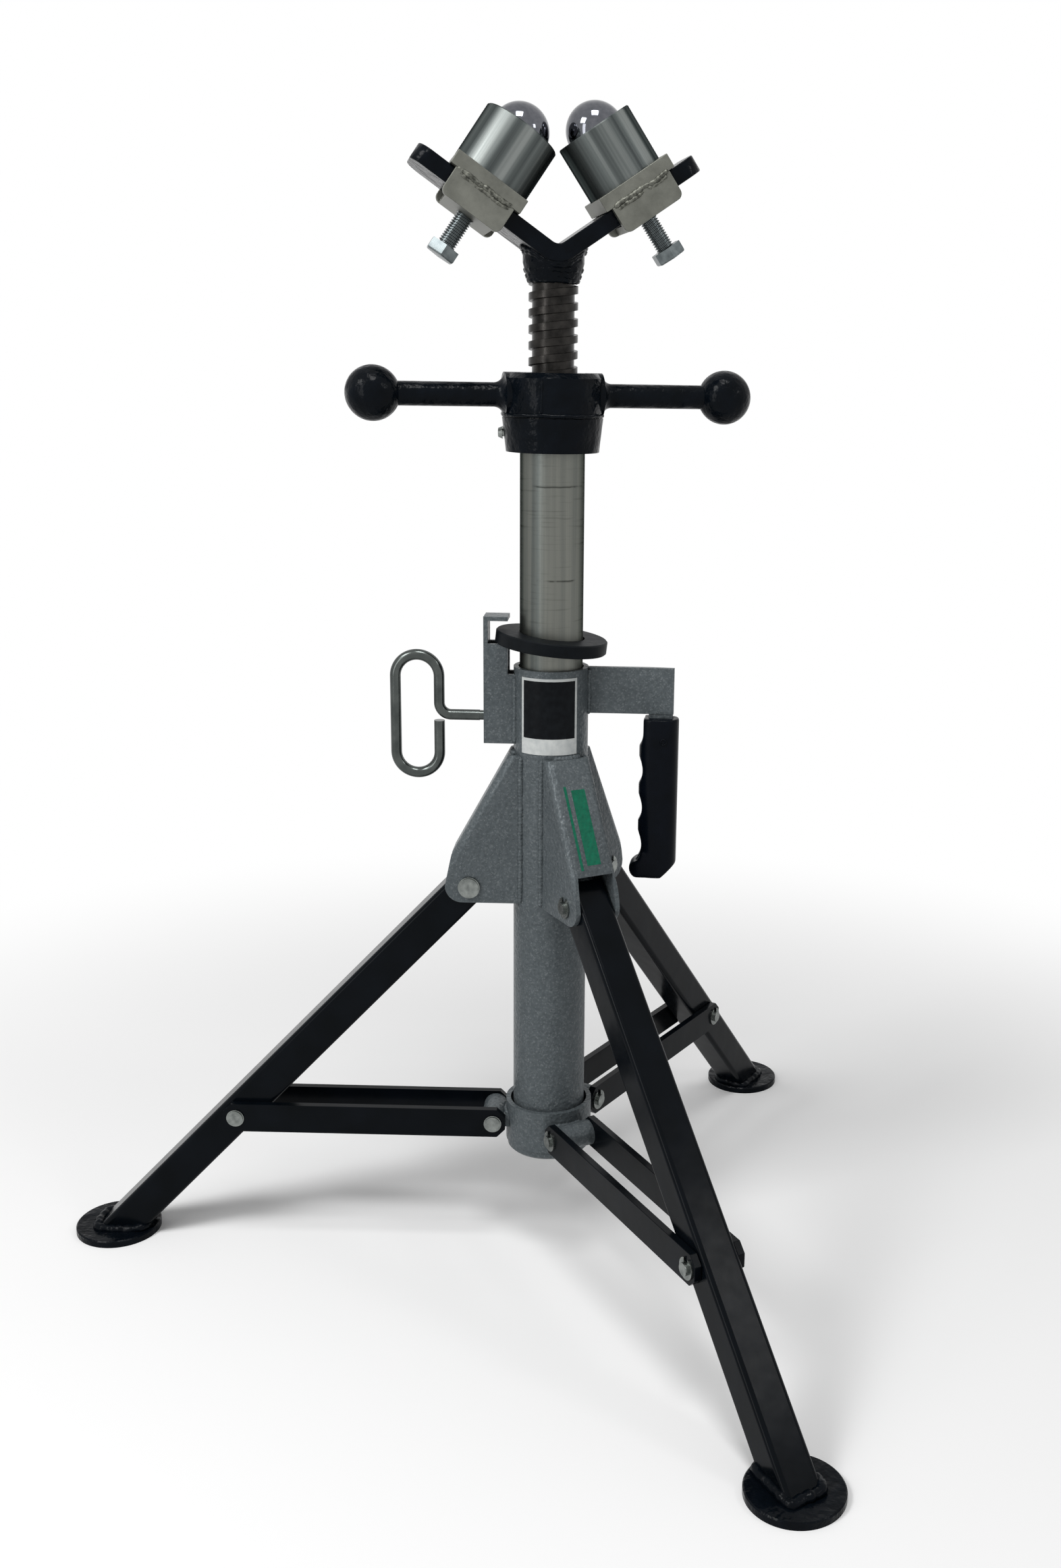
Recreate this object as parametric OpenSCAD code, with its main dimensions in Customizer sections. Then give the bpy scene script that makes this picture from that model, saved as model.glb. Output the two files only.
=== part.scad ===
// Folding tripod jack stand that carries a pipe on two ball units in a V head.
// Frame: origin on the floor under the post axis, +Z up, +X towards the carry handle. Millimetres.

/* [Jack screw and mast] */
// outside diameter of the jack screw
screw_od = 38; // [34:0.5:44]
// room between the jack screw and the mast bore
screw_gap = 1.4; // [0.6:0.1:3]
// wall of the mast tube
mast_wall = 5; // [3:0.1:6]
// length of the mast tube
mast_len = 480; // [420:5:500]
// height of the upper end of the mast
mast_top = 708; // [690:1:760]
// length of the jack screw
screw_len = 232; // [200:2:300]
// bare thread between the hand nut and the head
screw_out = 67; // [62:1:120]
// groove in the mast that keeps the hand nut on
groove_deep = 2; // [1:0.1:3]

/* [Post] */
// room between the mast and the post bore
mast_gap = 1.05; // [0.5:0.05:2]
// wall of the post tube
post_wall = 3.8; // [3:0.1:6]
// height of the lower end of the post
post_bottom = 91.5; // [85:0.5:95]
// height of the upper end of the post
post_top = 512; // [490:1:525]
// how far the stop ring stands out from the post
stop_out = 4.75; // [3:0.25:6]
// thickness of the stop ring
stop_t = 7; // [4:0.5:10]

/* [Hand nut] */
// height of the threaded part of the hub
hub_head = 34; // [28:1:45]
// depth of the skirt over the mast
hub_skirt = 26; // [20:1:32]
// wall of the skirt at its lower edge
hub_wall = 11; // [8:0.5:16]
// how much wider the skirt is at its upper edge
hub_taper = 3; // [1:0.5:6]
// bevel on the upper edge of the hub
hub_bevel = 4; // [1:0.5:6]
// diameter of the bars
nut_bar_d = 18.5; // [14:0.5:22]
// depth of the bar axis below the top of the hub
nut_bar_down = 17; // [15:0.5:20]
// radius of the flare at the root of a bar
bar_flare = 8; // [4:0.5:10]
// diameter of the ball knobs
knob_d = 42; // [34:1:50]
// distance from the screw axis to the centre of a knob
knob_r = 138.5; // [120:0.5:180]
// angle of the bars about the post, from +X
nut_turn = 14; // [-90:1:90]
// depth of a bar end inside its knob
knob_seat = 3; // [2:0.5:6]
// thread of the set screw that rides in the mast groove
set_d = 6; // [5:0.5:8]
// angle of the set screw from the bars
set_turn = 165; // [120:1:170]

/* [V head] */
// rise of each arm above level
vee_angle = 34.2; // [25:0.1:40]
// thickness of the flat bar
vee_t = 13; // [8:0.5:16]
// width of the flat bar
vee_w = 52; // [40:1:70]
// inside radius of the bend
vee_bend = 8; // [6:0.5:24]
// length of each arm from the corner
vee_arm = 123; // [110:1:150]
// corner radius at the end of an arm
vee_round = 12; // [4:0.5:20]
// height of the weld collar under the bar
neck_h = 14; // [10:1:26]
// how far the weld collar flares out
neck_out = 4.5; // [2:0.5:8]
// angle of the head about the post, from +X
head_turn = 12; // [-90:1:90]

/* [Ball units] */
// diameter of the main ball
ball_d = 44.45; // [38.1:0.05:50.8]
// depth of the ball centre below the housing rim
ball_down = 3; // [3:0.25:5]
// diameter of the small support balls
bead_d = 5; // [4:0.5:6]
// wall of the housing at the support balls
cup_wall = 3.25; // [2:0.25:6]
// height of the housing
cup_h = 44; // [42:1:60]
// depth of the ring that keeps the ball in
keeper_h = 2.6; // [1.5:0.1:3]
// thickness of the saddle top plate
pad_t = 11; // [5:0.5:12]
// length of the saddle top plate along the arm
pad_len = 61; // [58:1:80]
// length of the saddle side plates along the arm
cheek_len = 51; // [40:1:58]
// thickness of the saddle side plates
cheek_t = 6; // [4:0.5:10]
// thickness of the plate under the arm
sole_t = 6; // [6:0.5:14]
// room between the arm and the plate under it
sole_gap = 2; // [1:0.5:6]
// corner radius of the side plates
cheek_round = 5; // [2:0.5:8]
// space between the two housings
pair_gap = 3; // [0.5:0.25:10]
// how much further out the right unit stands than the middle of the two
unit_shift = 3; // [-6:0.1:6]
// diameter of the clamp bolts
bolt_d = 14; // [10:1:16]
// size of the bolt head across its flats
bolt_af = 22; // [18:1:26]
// height of the bolt head
bolt_head = 9; // [6:0.5:12]
// bare shank between the sole plate and the bolt head
bolt_out = 26; // [12:1:40]

/* [Clutch ring and lock] */
// width of the ring beyond the mast
ring_w = 19.6; // [14:0.2:21]
// thickness of the ring
ring_t = 10.5; // [6:0.5:12]
// tilt of the ring when it grips
ring_tilt = 6.4; // [3:0.1:7]
// height of the bracket edge that the ring rests on, above the post
seat_up = 18.5; // [16:0.5:40]
// depth of the bracket below the upper end of the post
hook_down = 63; // [45:1:65]
// how far the bracket stands out from the post
hook_out = 23.5; // [22:0.5:30]
// space from the post to the free edge of the bracket
hook_back = 4; // [2:0.5:8]
// width of the bracket
hook_w = 22; // [20:0.5:50]
// sheet thickness of the bracket
hook_t = 3.5; // [3:0.25:6]
// opening between the seat and the hook lip
hook_open = 18.5; // [17:0.5:26]
// wire of the loop screw
wire_d = 8.8; // [6:0.2:10]
// thread of the loop screw
lock_d = 8; // [6:0.5:8.5]
// width of the loop, wire centre to wire centre
loop_w = 35.4; // [28:0.2:44]
// height of the loop, wire centre to wire centre
loop_h = 98; // [80:1:110]
// loop centre above the screw axis
loop_up = 0; // [-6:0.5:8]
// distance of the loop from the bracket
loop_out = 37; // [28:1:60]
// depth of the screw axis below the upper end of the post
lock_down = 42; // [36:1:48]
// size of the lock nut across its flats
lock_af = 13; // [12:0.5:17]
// height of the lock nut
lock_nut_t = 6.5; // [5:0.5:8]

/* [Carry handle] */
// height of the flat bar
grip_bar_h = 38; // [30:1:48]
// thickness of the flat bar
grip_bar_t = 5; // [4:0.5:8]
// reach of the flat bar to its bend
grip_bar_len = 49; // [46:1:80]
// length of the bent end
grip_tab = 20.5; // [16:0.5:22]
// shoulder of the tang that goes down into the grip
tang_in = 0.5; // [0.3:0.1:1.5]
// angle of the bent end, towards the back
grip_bend = -5; // [-20:1:40]
// upper end of the grip below the flat bar
grip_drop = 3; // [1:0.5:6]
// thickness of the grip
grip_t = 24; // [20:1:32]
// palm side of the grip from the middle of the bar end
grip_palm = 15; // [12:0.5:18]
// depth of the grip from palm to fingers
grip_deep = 32; // [28:1:40]
// length of the grip
grip_len = 134; // [120:1:170]
// spacing of the finger hollows
finger_pitch = 31.5; // [26:0.5:32]
// depth of the finger hollows
finger_deep = 3.5; // [1:0.25:4]
// how far the toe of the grip stands out
toe_out = 6.5; // [6:0.5:18]
// radius of the toe
toe_round = 7; // [6:0.5:9]
// radius of the finger hollows
finger_r = 20; // [18:1:30]
// height of the lowest finger hollow
finger_first = 27.5; // [26:0.5:32]
// lower end of the tang above the lower end of the grip
tongue_up = 30; // [20:1:60]

/* [Legs] */
// width of the square leg tube
leg_w = 30; // [25:0.5:36]
// wall of the leg tube
leg_wall = 2.3; // [1.6:0.1:4]
// corner radius of the leg tube
leg_round = 4; // [3:0.25:7]
// distance of the leg pivot from the post
pivot_out = 35.15; // [34:0.25:50]
// height of the leg pivot
pivot_z = 329; // [300:1:345]
// angle of an open leg from the vertical
leg_angle = 43.6; // [38:0.1:46]
// length of leg above the pivot
leg_head = 14; // [10:0.5:15]
// distance of the brace pin from the leg pivot
brace_at = 291.2; // [270:0.2:300]
// foot plate diameter
foot_d = 72; // [60:1:100]
// foot plate thickness
foot_t = 6; // [4:0.5:12]
// foot plate centre beyond the leg axis
foot_shift = 6; // [0:0.5:15]
// diameter of the pivot pins
pin_d = 10; // [8:0.5:12]
// diameter of the leg pin heads
pin_head_d = 18; // [15:0.5:22]
// thickness of the leg pin heads
pin_head_t = 3.5; // [2:0.25:5]
// pin end beyond the clip
pin_tail = 2.4; // [1:0.2:4]
// thickness of the clips
clip_t = 1.4; // [1:0.1:2]
// outside diameter of the clips
clip_d = 17; // [14:0.5:20]

/* [Leg brackets] */
// sheet thickness of a leg bracket
bracket_t = 4; // [3:0.25:6]
// bracket edge beyond the leg pivot
bracket_out = 20; // [18:0.5:30]
// bracket edge below the leg pivot
bracket_down = 13.5; // [12:0.5:20]
// bracket top above the leg pivot
bracket_up = 112; // [95:1:118]
// corner radius at the leg pivot
bracket_round = 14; // [10:0.5:18]
// distance of the bend from the pivot, outwards
knee_out = 14.5; // [12:0.5:17]
// height of the bend above the pivot
knee_up = 28; // [26:0.5:36]
// bracket edge beyond the post at the top
bracket_top_out = 3.5; // [2:0.5:8]
// outside radius of the folds
fold_round = 6; // [5:0.5:9]

/* [Collar and braces] */
// room between the post and the collar
collar_gap = 2.25; // [1:0.25:4]
// wall of the collar
collar_wall = 4; // [3:0.25:6]
// height of the collar
collar_h = 36; // [30:1:44]
// diameter of the lug bushes
lug_d = 21; // [19:0.5:24]
// lug axis beyond the collar
lug_out = 10; // [9.5:0.25:14]
// lug axis above the lower edge of the collar
lug_up = 19; // [14:0.5:24]
// height of the weld block behind a lug
lug_foot = 11; // [6:0.5:16]
// height of the flat brace bars
brace_h = 25; // [20:0.5:26]
// thickness of the flat brace bars
brace_t = 6; // [4:0.5:8]
// bar beyond the pins
brace_end = 10.5; // [9:0.5:11]
// corner cut of the bars
brace_cut = 7; // [3:0.5:8]
// diameter of the brace pin heads
brace_head_d = 15; // [13:0.5:18]
// thickness of the brace pin heads
brace_head_t = 2.2; // [1.5:0.1:4]

/* [Fits] */
// radial room of a turning pin
pin_room = 0.08; // [0.04:0.01:0.1]
// room beside a moving plate
side_room = 0.5; // [0.3:0.05:1]
// room of threads and sliding faces
slide_room = 0.3; // [0.2:0.05:0.5]
// room of pressed and welded round pieces
press_room = 0.04; // [0.02:0.01:0.06]
// gap under a part that rests on a stop
rest_room = 0.15; // [0.1:0.05:0.3]
// overlap of bodies that are one piece of metal
lap = 0.02; // [0.01:0.01:0.05]

/* [Hidden] */
$fn = 96;
mast_od = screw_od + 2 * (screw_gap + mast_wall);
mast_bore = screw_od + 2 * screw_gap;
post_bore = mast_od + 2 * mast_gap;
post_od = post_bore + 2 * post_wall;
post_r = post_od / 2;

hub_bottom = mast_top - hub_skirt;
hub_top = mast_top + hub_head;
hub_r1 = mast_od / 2 + hub_wall;
hub_r2 = hub_r1 + hub_taper;
bar_z = hub_top - nut_bar_down;
bar_seat = mast_od / 2 + hub_wall / 2;
bar_end = knob_r - sqrt(pow(knob_d / 2, 2) - pow(nut_bar_d / 2, 2)) + knob_seat;
set_z = hub_bottom + 14;
set_r = hub_r1 + hub_taper * (set_z - hub_bottom) / hub_skirt;

neck_z = hub_top + screw_out;
vee_bottom = neck_z + neck_h;
vee_z = vee_bottom + vee_bend + vee_t - vee_bend / cos(vee_angle);
bend_z = vee_bottom + vee_bend + vee_t;
bend_s = vee_bend * tan(vee_angle);
screw_top = vee_bottom;

bead_r = ball_d / 2 + bead_d / 2 + press_room;
cup_bore = ball_d / 2 + bead_d + 2 * press_room;
cup_r = cup_bore + cup_wall;
cup_base = slide_room + pad_t;
cup_rim = cup_base + cup_h;
ball_h = cup_rim - ball_down;
pair_at = (pair_gap / 2 + cup_rim * sin(vee_angle) + cup_r * cos(vee_angle)) / cos(vee_angle);
saddle_at = [pair_at + unit_shift, pair_at - unit_shift];
cheek_in = vee_w / 2 + side_room;
sole_top = -vee_t - sole_gap;
sole_bottom = sole_top - sole_t;

ring_od = mast_od + 2 * ring_w;
ring_bore = (mast_od + ring_t * sin(ring_tilt)) / cos(ring_tilt) + 2 * slide_room;
seat_z = post_top + seat_up;
seat_x = post_r + hook_back;
ring_z = seat_z + rest_room - seat_x * tan(ring_tilt) + ring_t / 2 / cos(ring_tilt);
web_x = post_r + hook_out;
lip_z = seat_z + hook_open;
lock_z = post_top - lock_down;
lock_tip = mast_od / 2 + rest_room;
loop_x = web_x + loop_out;

grip_top = post_top - grip_bar_h - grip_drop;
bend_x = post_r + grip_bar_len;
tab_mid = grip_tab / 2;
tang_w = grip_tab - 2 * tang_in;
tang_t = grip_bar_t - 2 * tang_in;
grip_bottom = grip_top - grip_len;
grip_front = grip_palm - grip_deep;

leg_side = leg_w / 2 + side_room;
pivot_r = post_r + pivot_out;
brace_r = pivot_r + brace_at * sin(leg_angle);
brace_z = pivot_z - brace_at * cos(leg_angle);
foot_r = pivot_r + (pivot_z - foot_t) * tan(leg_angle) + foot_shift;
leg_long = (pivot_z + leg_w) / cos(leg_angle);
leg_az = [180, -60, 60];

collar_bore = post_od + 2 * collar_gap;
collar_od = collar_bore + 2 * collar_wall;
collar_z = post_bottom + stop_t + rest_room;
lug_r = collar_od / 2 + lug_out;
lug_z = collar_z + lug_up;
lug_len = 2 * leg_side - 2 * slide_room;
brace_len = sqrt(pow(brace_r - lug_r, 2) + pow(brace_z - lug_z, 2));
brace_tilt = atan2(brace_z - lug_z, brace_r - lug_r);
brace_out = leg_side + brace_t;
bracket_side = leg_side + bracket_t;
slope = atan2(knee_out - bracket_top_out + pivot_out, bracket_up - knee_up);

STEEL = [0.72, 0.73, 0.73];
GREY = [0.45, 0.48, 0.5];
BLACK = [0.1, 0.11, 0.12];
ZINC = [0.78, 0.78, 0.74];

// Shared shapes
module pipe(od, id, h) {
    difference() {
        cylinder(d = od, h = h);
        translate([0, 0, -1]) cylinder(d = id, h = h + 2);
    }
}

module soft_square(w, h, r) {
    square([w, h - 2 * r], center = true);
    square([w - 2 * r, h], center = true);
    for (sx = [-1, 1], sy = [-1, 1])
        translate([sx * (w / 2 - r), sy * (h / 2 - r)]) circle(r = r);
}

// a cylinder along +Y that starts at y0
module along_y(d, y0, y1) {
    translate([0, y0, 0]) rotate([-90, 0, 0]) cylinder(d = d, h = y1 - y0);
}

// headed pin along Y: head at the +Y side, clip groove and tail at the other
module headed_pin(half, head_d, head_t) {
    difference() {
        union() {
            along_y(pin_d, -half - clip_t - pin_tail, half);
            along_y(head_d - 2, half, half + head_t);
            along_y(head_d, half, half + head_t - 1);
        }
        difference() {
            along_y(pin_d + 2, -half - clip_t, -half);
            along_y(pin_d - 2, -half - clip_t - 1, -half + 1);
        }
    }
}

// open retaining clip that snaps into the groove of a headed pin
module clip(half) {
    difference() {
        along_y(clip_d, -half - clip_t, -half);
        along_y(pin_d - 2 + 2 * press_room, -half - clip_t - 1, -half + 1);
        translate([-pin_d / 4, -half - clip_t - 1, 0]) cube([pin_d / 2, clip_t + 2, clip_d]);
    }
}

module leg_frame(i) {
    rotate([0, 0, leg_az[i]]) children();
}

module at_pivot(i) {
    leg_frame(i) translate([pivot_r, 0, pivot_z]) children();
}

module at_lug(i) {
    leg_frame(i) translate([lug_r, 0, lug_z]) rotate([0, -brace_tilt, 0]) children();
}

// local +X runs out along an arm of the V, local +Z is the normal of its upper face
module arm_frame(i) {
    rotate([0, 0, head_turn + 180 * i]) translate([0, 0, vee_z]) rotate([0, -vee_angle, 0]) children();
}

module saddle_frame(i) {
    arm_frame(i) translate([saddle_at[i], 0, 0]) children();
}

// Post
module outer_tube() {
    color(GREY) difference() {
        translate([0, 0, post_bottom]) pipe(post_od, post_bore, post_top - post_bottom);
        translate([0, 0, lock_z]) rotate([0, -90, 0]) cylinder(d = lock_d + 2 * slide_room, h = post_od);
    }
}

module stop_ring() {
    color(GREY) translate([0, 0, post_bottom]) difference() {
        union() {
            cylinder(r1 = post_r + stop_out - 2, r2 = post_r + stop_out, h = 2);
            translate([0, 0, 2]) cylinder(r = post_r + stop_out, h = stop_t - 2);
        }
        translate([0, 0, -1]) cylinder(d = post_od, h = stop_t + 2);
    }
}

// Side outline of a leg bracket in the plane of the leg, about the leg pivot
module bracket_outline() {
    difference() {
        polygon([
            [-pivot_out - post_r / 2, -bracket_down],
            [bracket_out, -bracket_down],
            [bracket_out, bracket_round - bracket_down],
            [knee_out - (bracket_out - knee_out) / 10, knee_up * 1.1],
            [bracket_top_out - pivot_out + knee_up / 10, bracket_up],
            [-pivot_out - post_r / 2, bracket_up]
        ]);
        translate([bracket_out - bracket_round, -bracket_down]) difference() {
            square([bracket_round + 1, bracket_round]);
            translate([0, bracket_round]) circle(r = bracket_round);
        }
    }
}

// The room for the leg, under the web and open at the bottom
module bracket_hollow() {
    under = knee_out - bracket_t / cos(slope);
    polygon([
        [-pivot_out - post_r, -bracket_down - 1],
        [bracket_out + 1, -bracket_down - 1],
        [bracket_out + 1, knee_up],
        [under, knee_up],
        [under - (bracket_up + 1 - knee_up) * tan(slope), bracket_up + 1],
        [-pivot_out - post_r, bracket_up + 1]
    ]);
}

// Two side plates joined by a sloping web, folded from one sheet with round folds
module leg_bracket(i) {
    color(GREY) difference() {
        at_pivot(i) difference() {
            intersection() {
                rotate([90, 0, 0]) linear_extrude(2 * bracket_side, center = true) bracket_outline();
                translate([knee_out, 0, knee_up]) rotate([0, -slope, 0]) translate([0, 0, -150])
                    linear_extrude(400) translate([-100, 0]) soft_square(200, 2 * bracket_side, fold_round);
            }
            rotate([90, 0, 0]) linear_extrude(2 * leg_side, center = true) bracket_hollow();
            along_y(pin_d + 2 * press_room, -bracket_side - 1, bracket_side + 1);
        }
        cylinder(d = post_od, h = post_top);
    }
}

module leg_pins() {
    color(STEEL) for (i = [0:2]) at_pivot(i) headed_pin(bracket_side, pin_head_d, pin_head_t);
}

module leg_pin_clips() {
    color(STEEL) for (i = [0:2]) at_pivot(i) clip(bracket_side);
}

// Channel welded to the post on the -X side, with a web that hooks over the clutch ring
module hook_bracket() {
    color(GREY) rotate([0, 0, 180]) difference() {
        union() {
            translate([web_x - hook_t, -hook_w / 2, post_top - hook_down])
                cube([hook_t, hook_w, lip_z + hook_t - post_top + hook_down]);
            translate([seat_x, -hook_w / 2, lip_z]) cube([web_x - seat_x, hook_w, hook_t]);
            for (s = [-1, 1]) {
                translate([seat_x, s * (hook_w - hook_t) / 2 - hook_t / 2, post_top - hook_down])
                    cube([web_x - seat_x, hook_t, hook_down + seat_up]);
                translate([post_r / 2, s * (hook_w - hook_t) / 2 - hook_t / 2, post_top - hook_down])
                    cube([web_x - post_r / 2, hook_t, hook_down - 6]);
            }
        }
        cylinder(d = post_od, h = post_top + 100);
        translate([0, 0, lock_z]) rotate([0, 90, 0]) cylinder(d = lock_d + 2 * slide_room, h = web_x + 1);
    }
}

module lock_nut() {
    color(STEEL) translate([0, 0, lock_z]) rotate([0, -90, 0]) translate([0, 0, web_x - hook_t - lock_nut_t])
        difference() {
            cylinder(d = lock_af / cos(30), h = lock_nut_t, $fn = 6);
            translate([0, 0, -1]) cylinder(d = lock_d + 2 * pin_room, h = lock_nut_t + 2);
        }
}

// Plan of the flat bar from inside the post to its bent end
module bar_plan() {
    half = grip_bar_t / 2;
    mitre = half * tan(grip_bend / 2);
    tip = [bend_x + grip_tab * cos(grip_bend), grip_tab * sin(grip_bend)];
    side = half * [sin(grip_bend), -cos(grip_bend)];
    polygon([
        [post_r / 2, -half],
        [bend_x + mitre, -half],
        tip + side,
        tip - side,
        [bend_x - mitre, half],
        [post_r / 2, half]
    ]);
}

// Flat bar welded to the post, bent a little, with a tang that goes down into the grip
module handle_bar() {
    color(GREY) difference() {
        union() {
            translate([0, 0, post_top - grip_bar_h]) linear_extrude(grip_bar_h) bar_plan();
            translate([bend_x, 0, grip_bottom + tongue_up]) rotate([0, 0, grip_bend])
                translate([tang_in, -tang_t / 2, 0])
                cube([tang_w, tang_t, grip_len - tongue_up + grip_drop + 1]);
        }
        cylinder(d = post_od, h = post_top + 1);
    }
}

// Moulded grip: palm side round, finger side with hollows, a toe at the bottom
module handle_grip() {
    color(BLACK) translate([bend_x, 0, 0]) rotate([0, 0, grip_bend]) translate([tab_mid, 0, grip_bottom])
        difference() {
            union() {
                linear_extrude(grip_len) translate([grip_palm - grip_deep / 2, 0])
                    soft_square(grip_deep, grip_t, grip_t / 2 - 0.5);
                intersection() {
                    rotate([90, 0, 0]) linear_extrude(grip_t, center = true) {
                        translate([grip_front - toe_out + toe_round, toe_round]) circle(r = toe_round);
                        polygon([
                            [grip_front - toe_out + toe_round, 0],
                            [0, 0],
                            [0, 3 * toe_round],
                            [grip_front + finger_deep, 3 * toe_round],
                            [grip_front - toe_out + toe_round, 2 * toe_round]
                        ]);
                    }
                    linear_extrude(grip_len) translate([grip_palm - grip_deep / 2, 0])
                        soft_square(grip_deep + 2 * toe_out, grip_t, toe_round);
                }
            }
            for (k = [0:3])
                translate([grip_front + finger_deep - finger_r, 0, finger_first + k * finger_pitch])
                    along_y(2 * finger_r, -grip_t, grip_t);
            translate([grip_front - 1, -grip_t, finger_first + 3 * finger_pitch])
                cube([finger_deep + 1, 2 * grip_t, grip_len]);
            translate([grip_palm - 13, -grip_t, -1]) rotate([0, 45, 0])
                cube([30, 2 * grip_t, 30]);
            translate([-tang_w / 2 - press_room, -tang_t / 2 - press_room, tongue_up - press_room])
                cube([tang_w + 2 * press_room, tang_t + 2 * press_room, grip_len]);
        }
}

// Clutch
module clutch_ring() {
    color(BLACK) translate([0, 0, ring_z]) rotate([0, ring_tilt, 0]) translate([0, 0, -ring_t / 2])
        difference() {
            union() {
                cylinder(d1 = ring_od - 2, d2 = ring_od, h = 1);
                translate([0, 0, 1]) cylinder(d = ring_od, h = ring_t - 2);
                translate([0, 0, ring_t - 1]) cylinder(d1 = ring_od, d2 = ring_od - 2, h = 1);
            }
            translate([0, 0, -1]) cylinder(d = ring_bore, h = ring_t + 2);
        }
}

// One wire: threaded end, shoulder, bend up into the loop, round the loop and back under the shank
module loop_screw() {
    r = loop_w / 2;
    up = loop_up + loop_h / 2 - r;
    down = loop_up - loop_h / 2 + r;
    turn = wire_d * 1.1;
    color(STEEL) translate([0, 0, lock_z]) rotate([0, 0, 180]) {
        rotate([0, 90, 0]) translate([0, 0, lock_tip + 1])
            cylinder(d = lock_d, h = web_x + 4 - lock_tip - 1);
        rotate([0, 90, 0]) translate([0, 0, lock_tip]) cylinder(d1 = lock_d - 2, d2 = lock_d, h = 1);
        rotate([0, 90, 0]) translate([0, 0, web_x + 4]) cylinder(d = wire_d, h = loop_x - turn - web_x - 4);
        translate([loop_x - turn, 0, turn]) rotate([90, 0, 0]) rotate([0, 0, -90])
            rotate_extrude(angle = 90) translate([turn, 0]) circle(d = wire_d);
        translate([loop_x, 0, turn]) cylinder(d = wire_d, h = up - turn);
        translate([loop_x + r, 0, up]) rotate([90, 0, 0])
            rotate_extrude(angle = 180) translate([r, 0]) circle(d = wire_d);
        translate([loop_x + 2 * r, 0, down]) cylinder(d = wire_d, h = up - down);
        translate([loop_x + r, 0, down]) rotate([90, 0, 0]) rotate([0, 0, 180])
            rotate_extrude(angle = 180) translate([r, 0]) circle(d = wire_d);
        translate([loop_x, 0, down]) cylinder(d = wire_d, h = -wire_d / 2 - 0.6 - down);
    }
}

// Mast and hand nut
module mast_tube() {
    color(STEEL) difference() {
        translate([0, 0, mast_top - mast_len]) pipe(mast_od, mast_bore, mast_len);
        translate([0, 0, set_z - set_d / 2 - slide_room]) difference() {
            cylinder(d = mast_od + 2, h = set_d + 2 * slide_room);
            translate([0, 0, -1]) cylinder(d = mast_od - 2 * groove_deep, h = set_d + 2);
        }
    }
}

// Cast hub: skirt over the mast, threaded head, a flared boss for each bar
module nut_hub() {
    color(BLACK) rotate([0, 0, nut_turn]) difference() {
        union() {
            translate([0, 0, hub_bottom]) cylinder(r1 = hub_r1, r2 = hub_r2, h = hub_skirt);
            translate([0, 0, mast_top]) cylinder(r = hub_r2 - 1, h = hub_head - hub_bevel);
            translate([0, 0, hub_top - hub_bevel])
                cylinder(r1 = hub_r2 - 1, r2 = hub_r2 - 1 - hub_bevel, h = hub_bevel);
            for (a = [0, 180]) rotate([0, 0, a]) translate([0, 0, bar_z]) rotate([0, 90, 0])
                rotate_extrude() difference() {
                    translate([0, bar_seat - 5])
                        square([nut_bar_d / 2 + bar_flare, hub_r2 - bar_seat + bar_flare + 5]);
                    translate([nut_bar_d / 2 + bar_flare, hub_r2 + bar_flare - 1]) circle(r = bar_flare);
                    translate([nut_bar_d / 2, hub_r2 + bar_flare - 1]) square([bar_flare + 1, 2]);
                }
        }
        translate([0, 0, hub_bottom - 1])
            cylinder(d = mast_od + 2 * slide_room, h = hub_skirt + 1 + rest_room);
        translate([0, 0, mast_top]) cylinder(d = screw_od + 2 * slide_room, h = hub_head + 1);
        for (a = [0, 180]) rotate([0, 0, a]) translate([bar_seat, 0, bar_z]) rotate([0, 90, 0])
            cylinder(d = nut_bar_d + 2 * press_room, h = 60);
        rotate([0, 0, set_turn]) translate([0, 0, set_z]) rotate([0, 90, 0])
            cylinder(d = set_d + 2 * press_room, h = hub_r2 + 5);
    }
}

module nut_bars() {
    color(BLACK) for (a = [0, 180]) rotate([0, 0, nut_turn + a]) translate([bar_seat, 0, bar_z])
        rotate([0, 90, 0]) cylinder(d = nut_bar_d, h = bar_end - bar_seat);
}

module nut_knobs() {
    color(BLACK) for (a = [0, 180]) rotate([0, 0, nut_turn + a]) translate([knob_r, 0, bar_z]) difference() {
        sphere(d = knob_d);
        rotate([0, 90, 0]) translate([0, 0, -knob_r + bar_end - 60])
            cylinder(d = nut_bar_d + 2 * press_room, h = 60);
    }
}

module nut_set_screw() {
    color(STEEL) rotate([0, 0, nut_turn + set_turn]) translate([0, 0, set_z]) rotate([0, 90, 0]) {
        translate([0, 0, mast_od / 2 - groove_deep + slide_room])
            cylinder(d = set_d, h = set_r + 1 - mast_od / 2 + groove_deep - slide_room);
        difference() {
            translate([0, 0, set_r + 1]) cylinder(d1 = 10, d2 = 7, h = 3.4);
            translate([0, 0, set_r + 2.6]) cylinder(d = 4, h = 4, $fn = 6);
        }
    }
}

// Screw and V head
module jack_screw() {
    color(STEEL) rotate([0, 0, head_turn]) translate([0, 0, screw_top - screw_len]) {
        cylinder(d1 = screw_od - 4, d2 = screw_od, h = 2);
        translate([0, 0, 2]) cylinder(d = screw_od, h = screw_len - 2);
    }
}

// Plan of one arm from the bend to its round-cornered end
module arm_plan() {
    translate([bend_s - lap, -vee_w / 2]) square([vee_arm - vee_round - bend_s + lap, vee_w]);
    translate([bend_s, vee_round - vee_w / 2]) square([vee_arm - bend_s, vee_w - 2 * vee_round]);
    for (s = [-1, 1]) translate([vee_arm - vee_round, s * (vee_w / 2 - vee_round)]) circle(r = vee_round);
}

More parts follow.
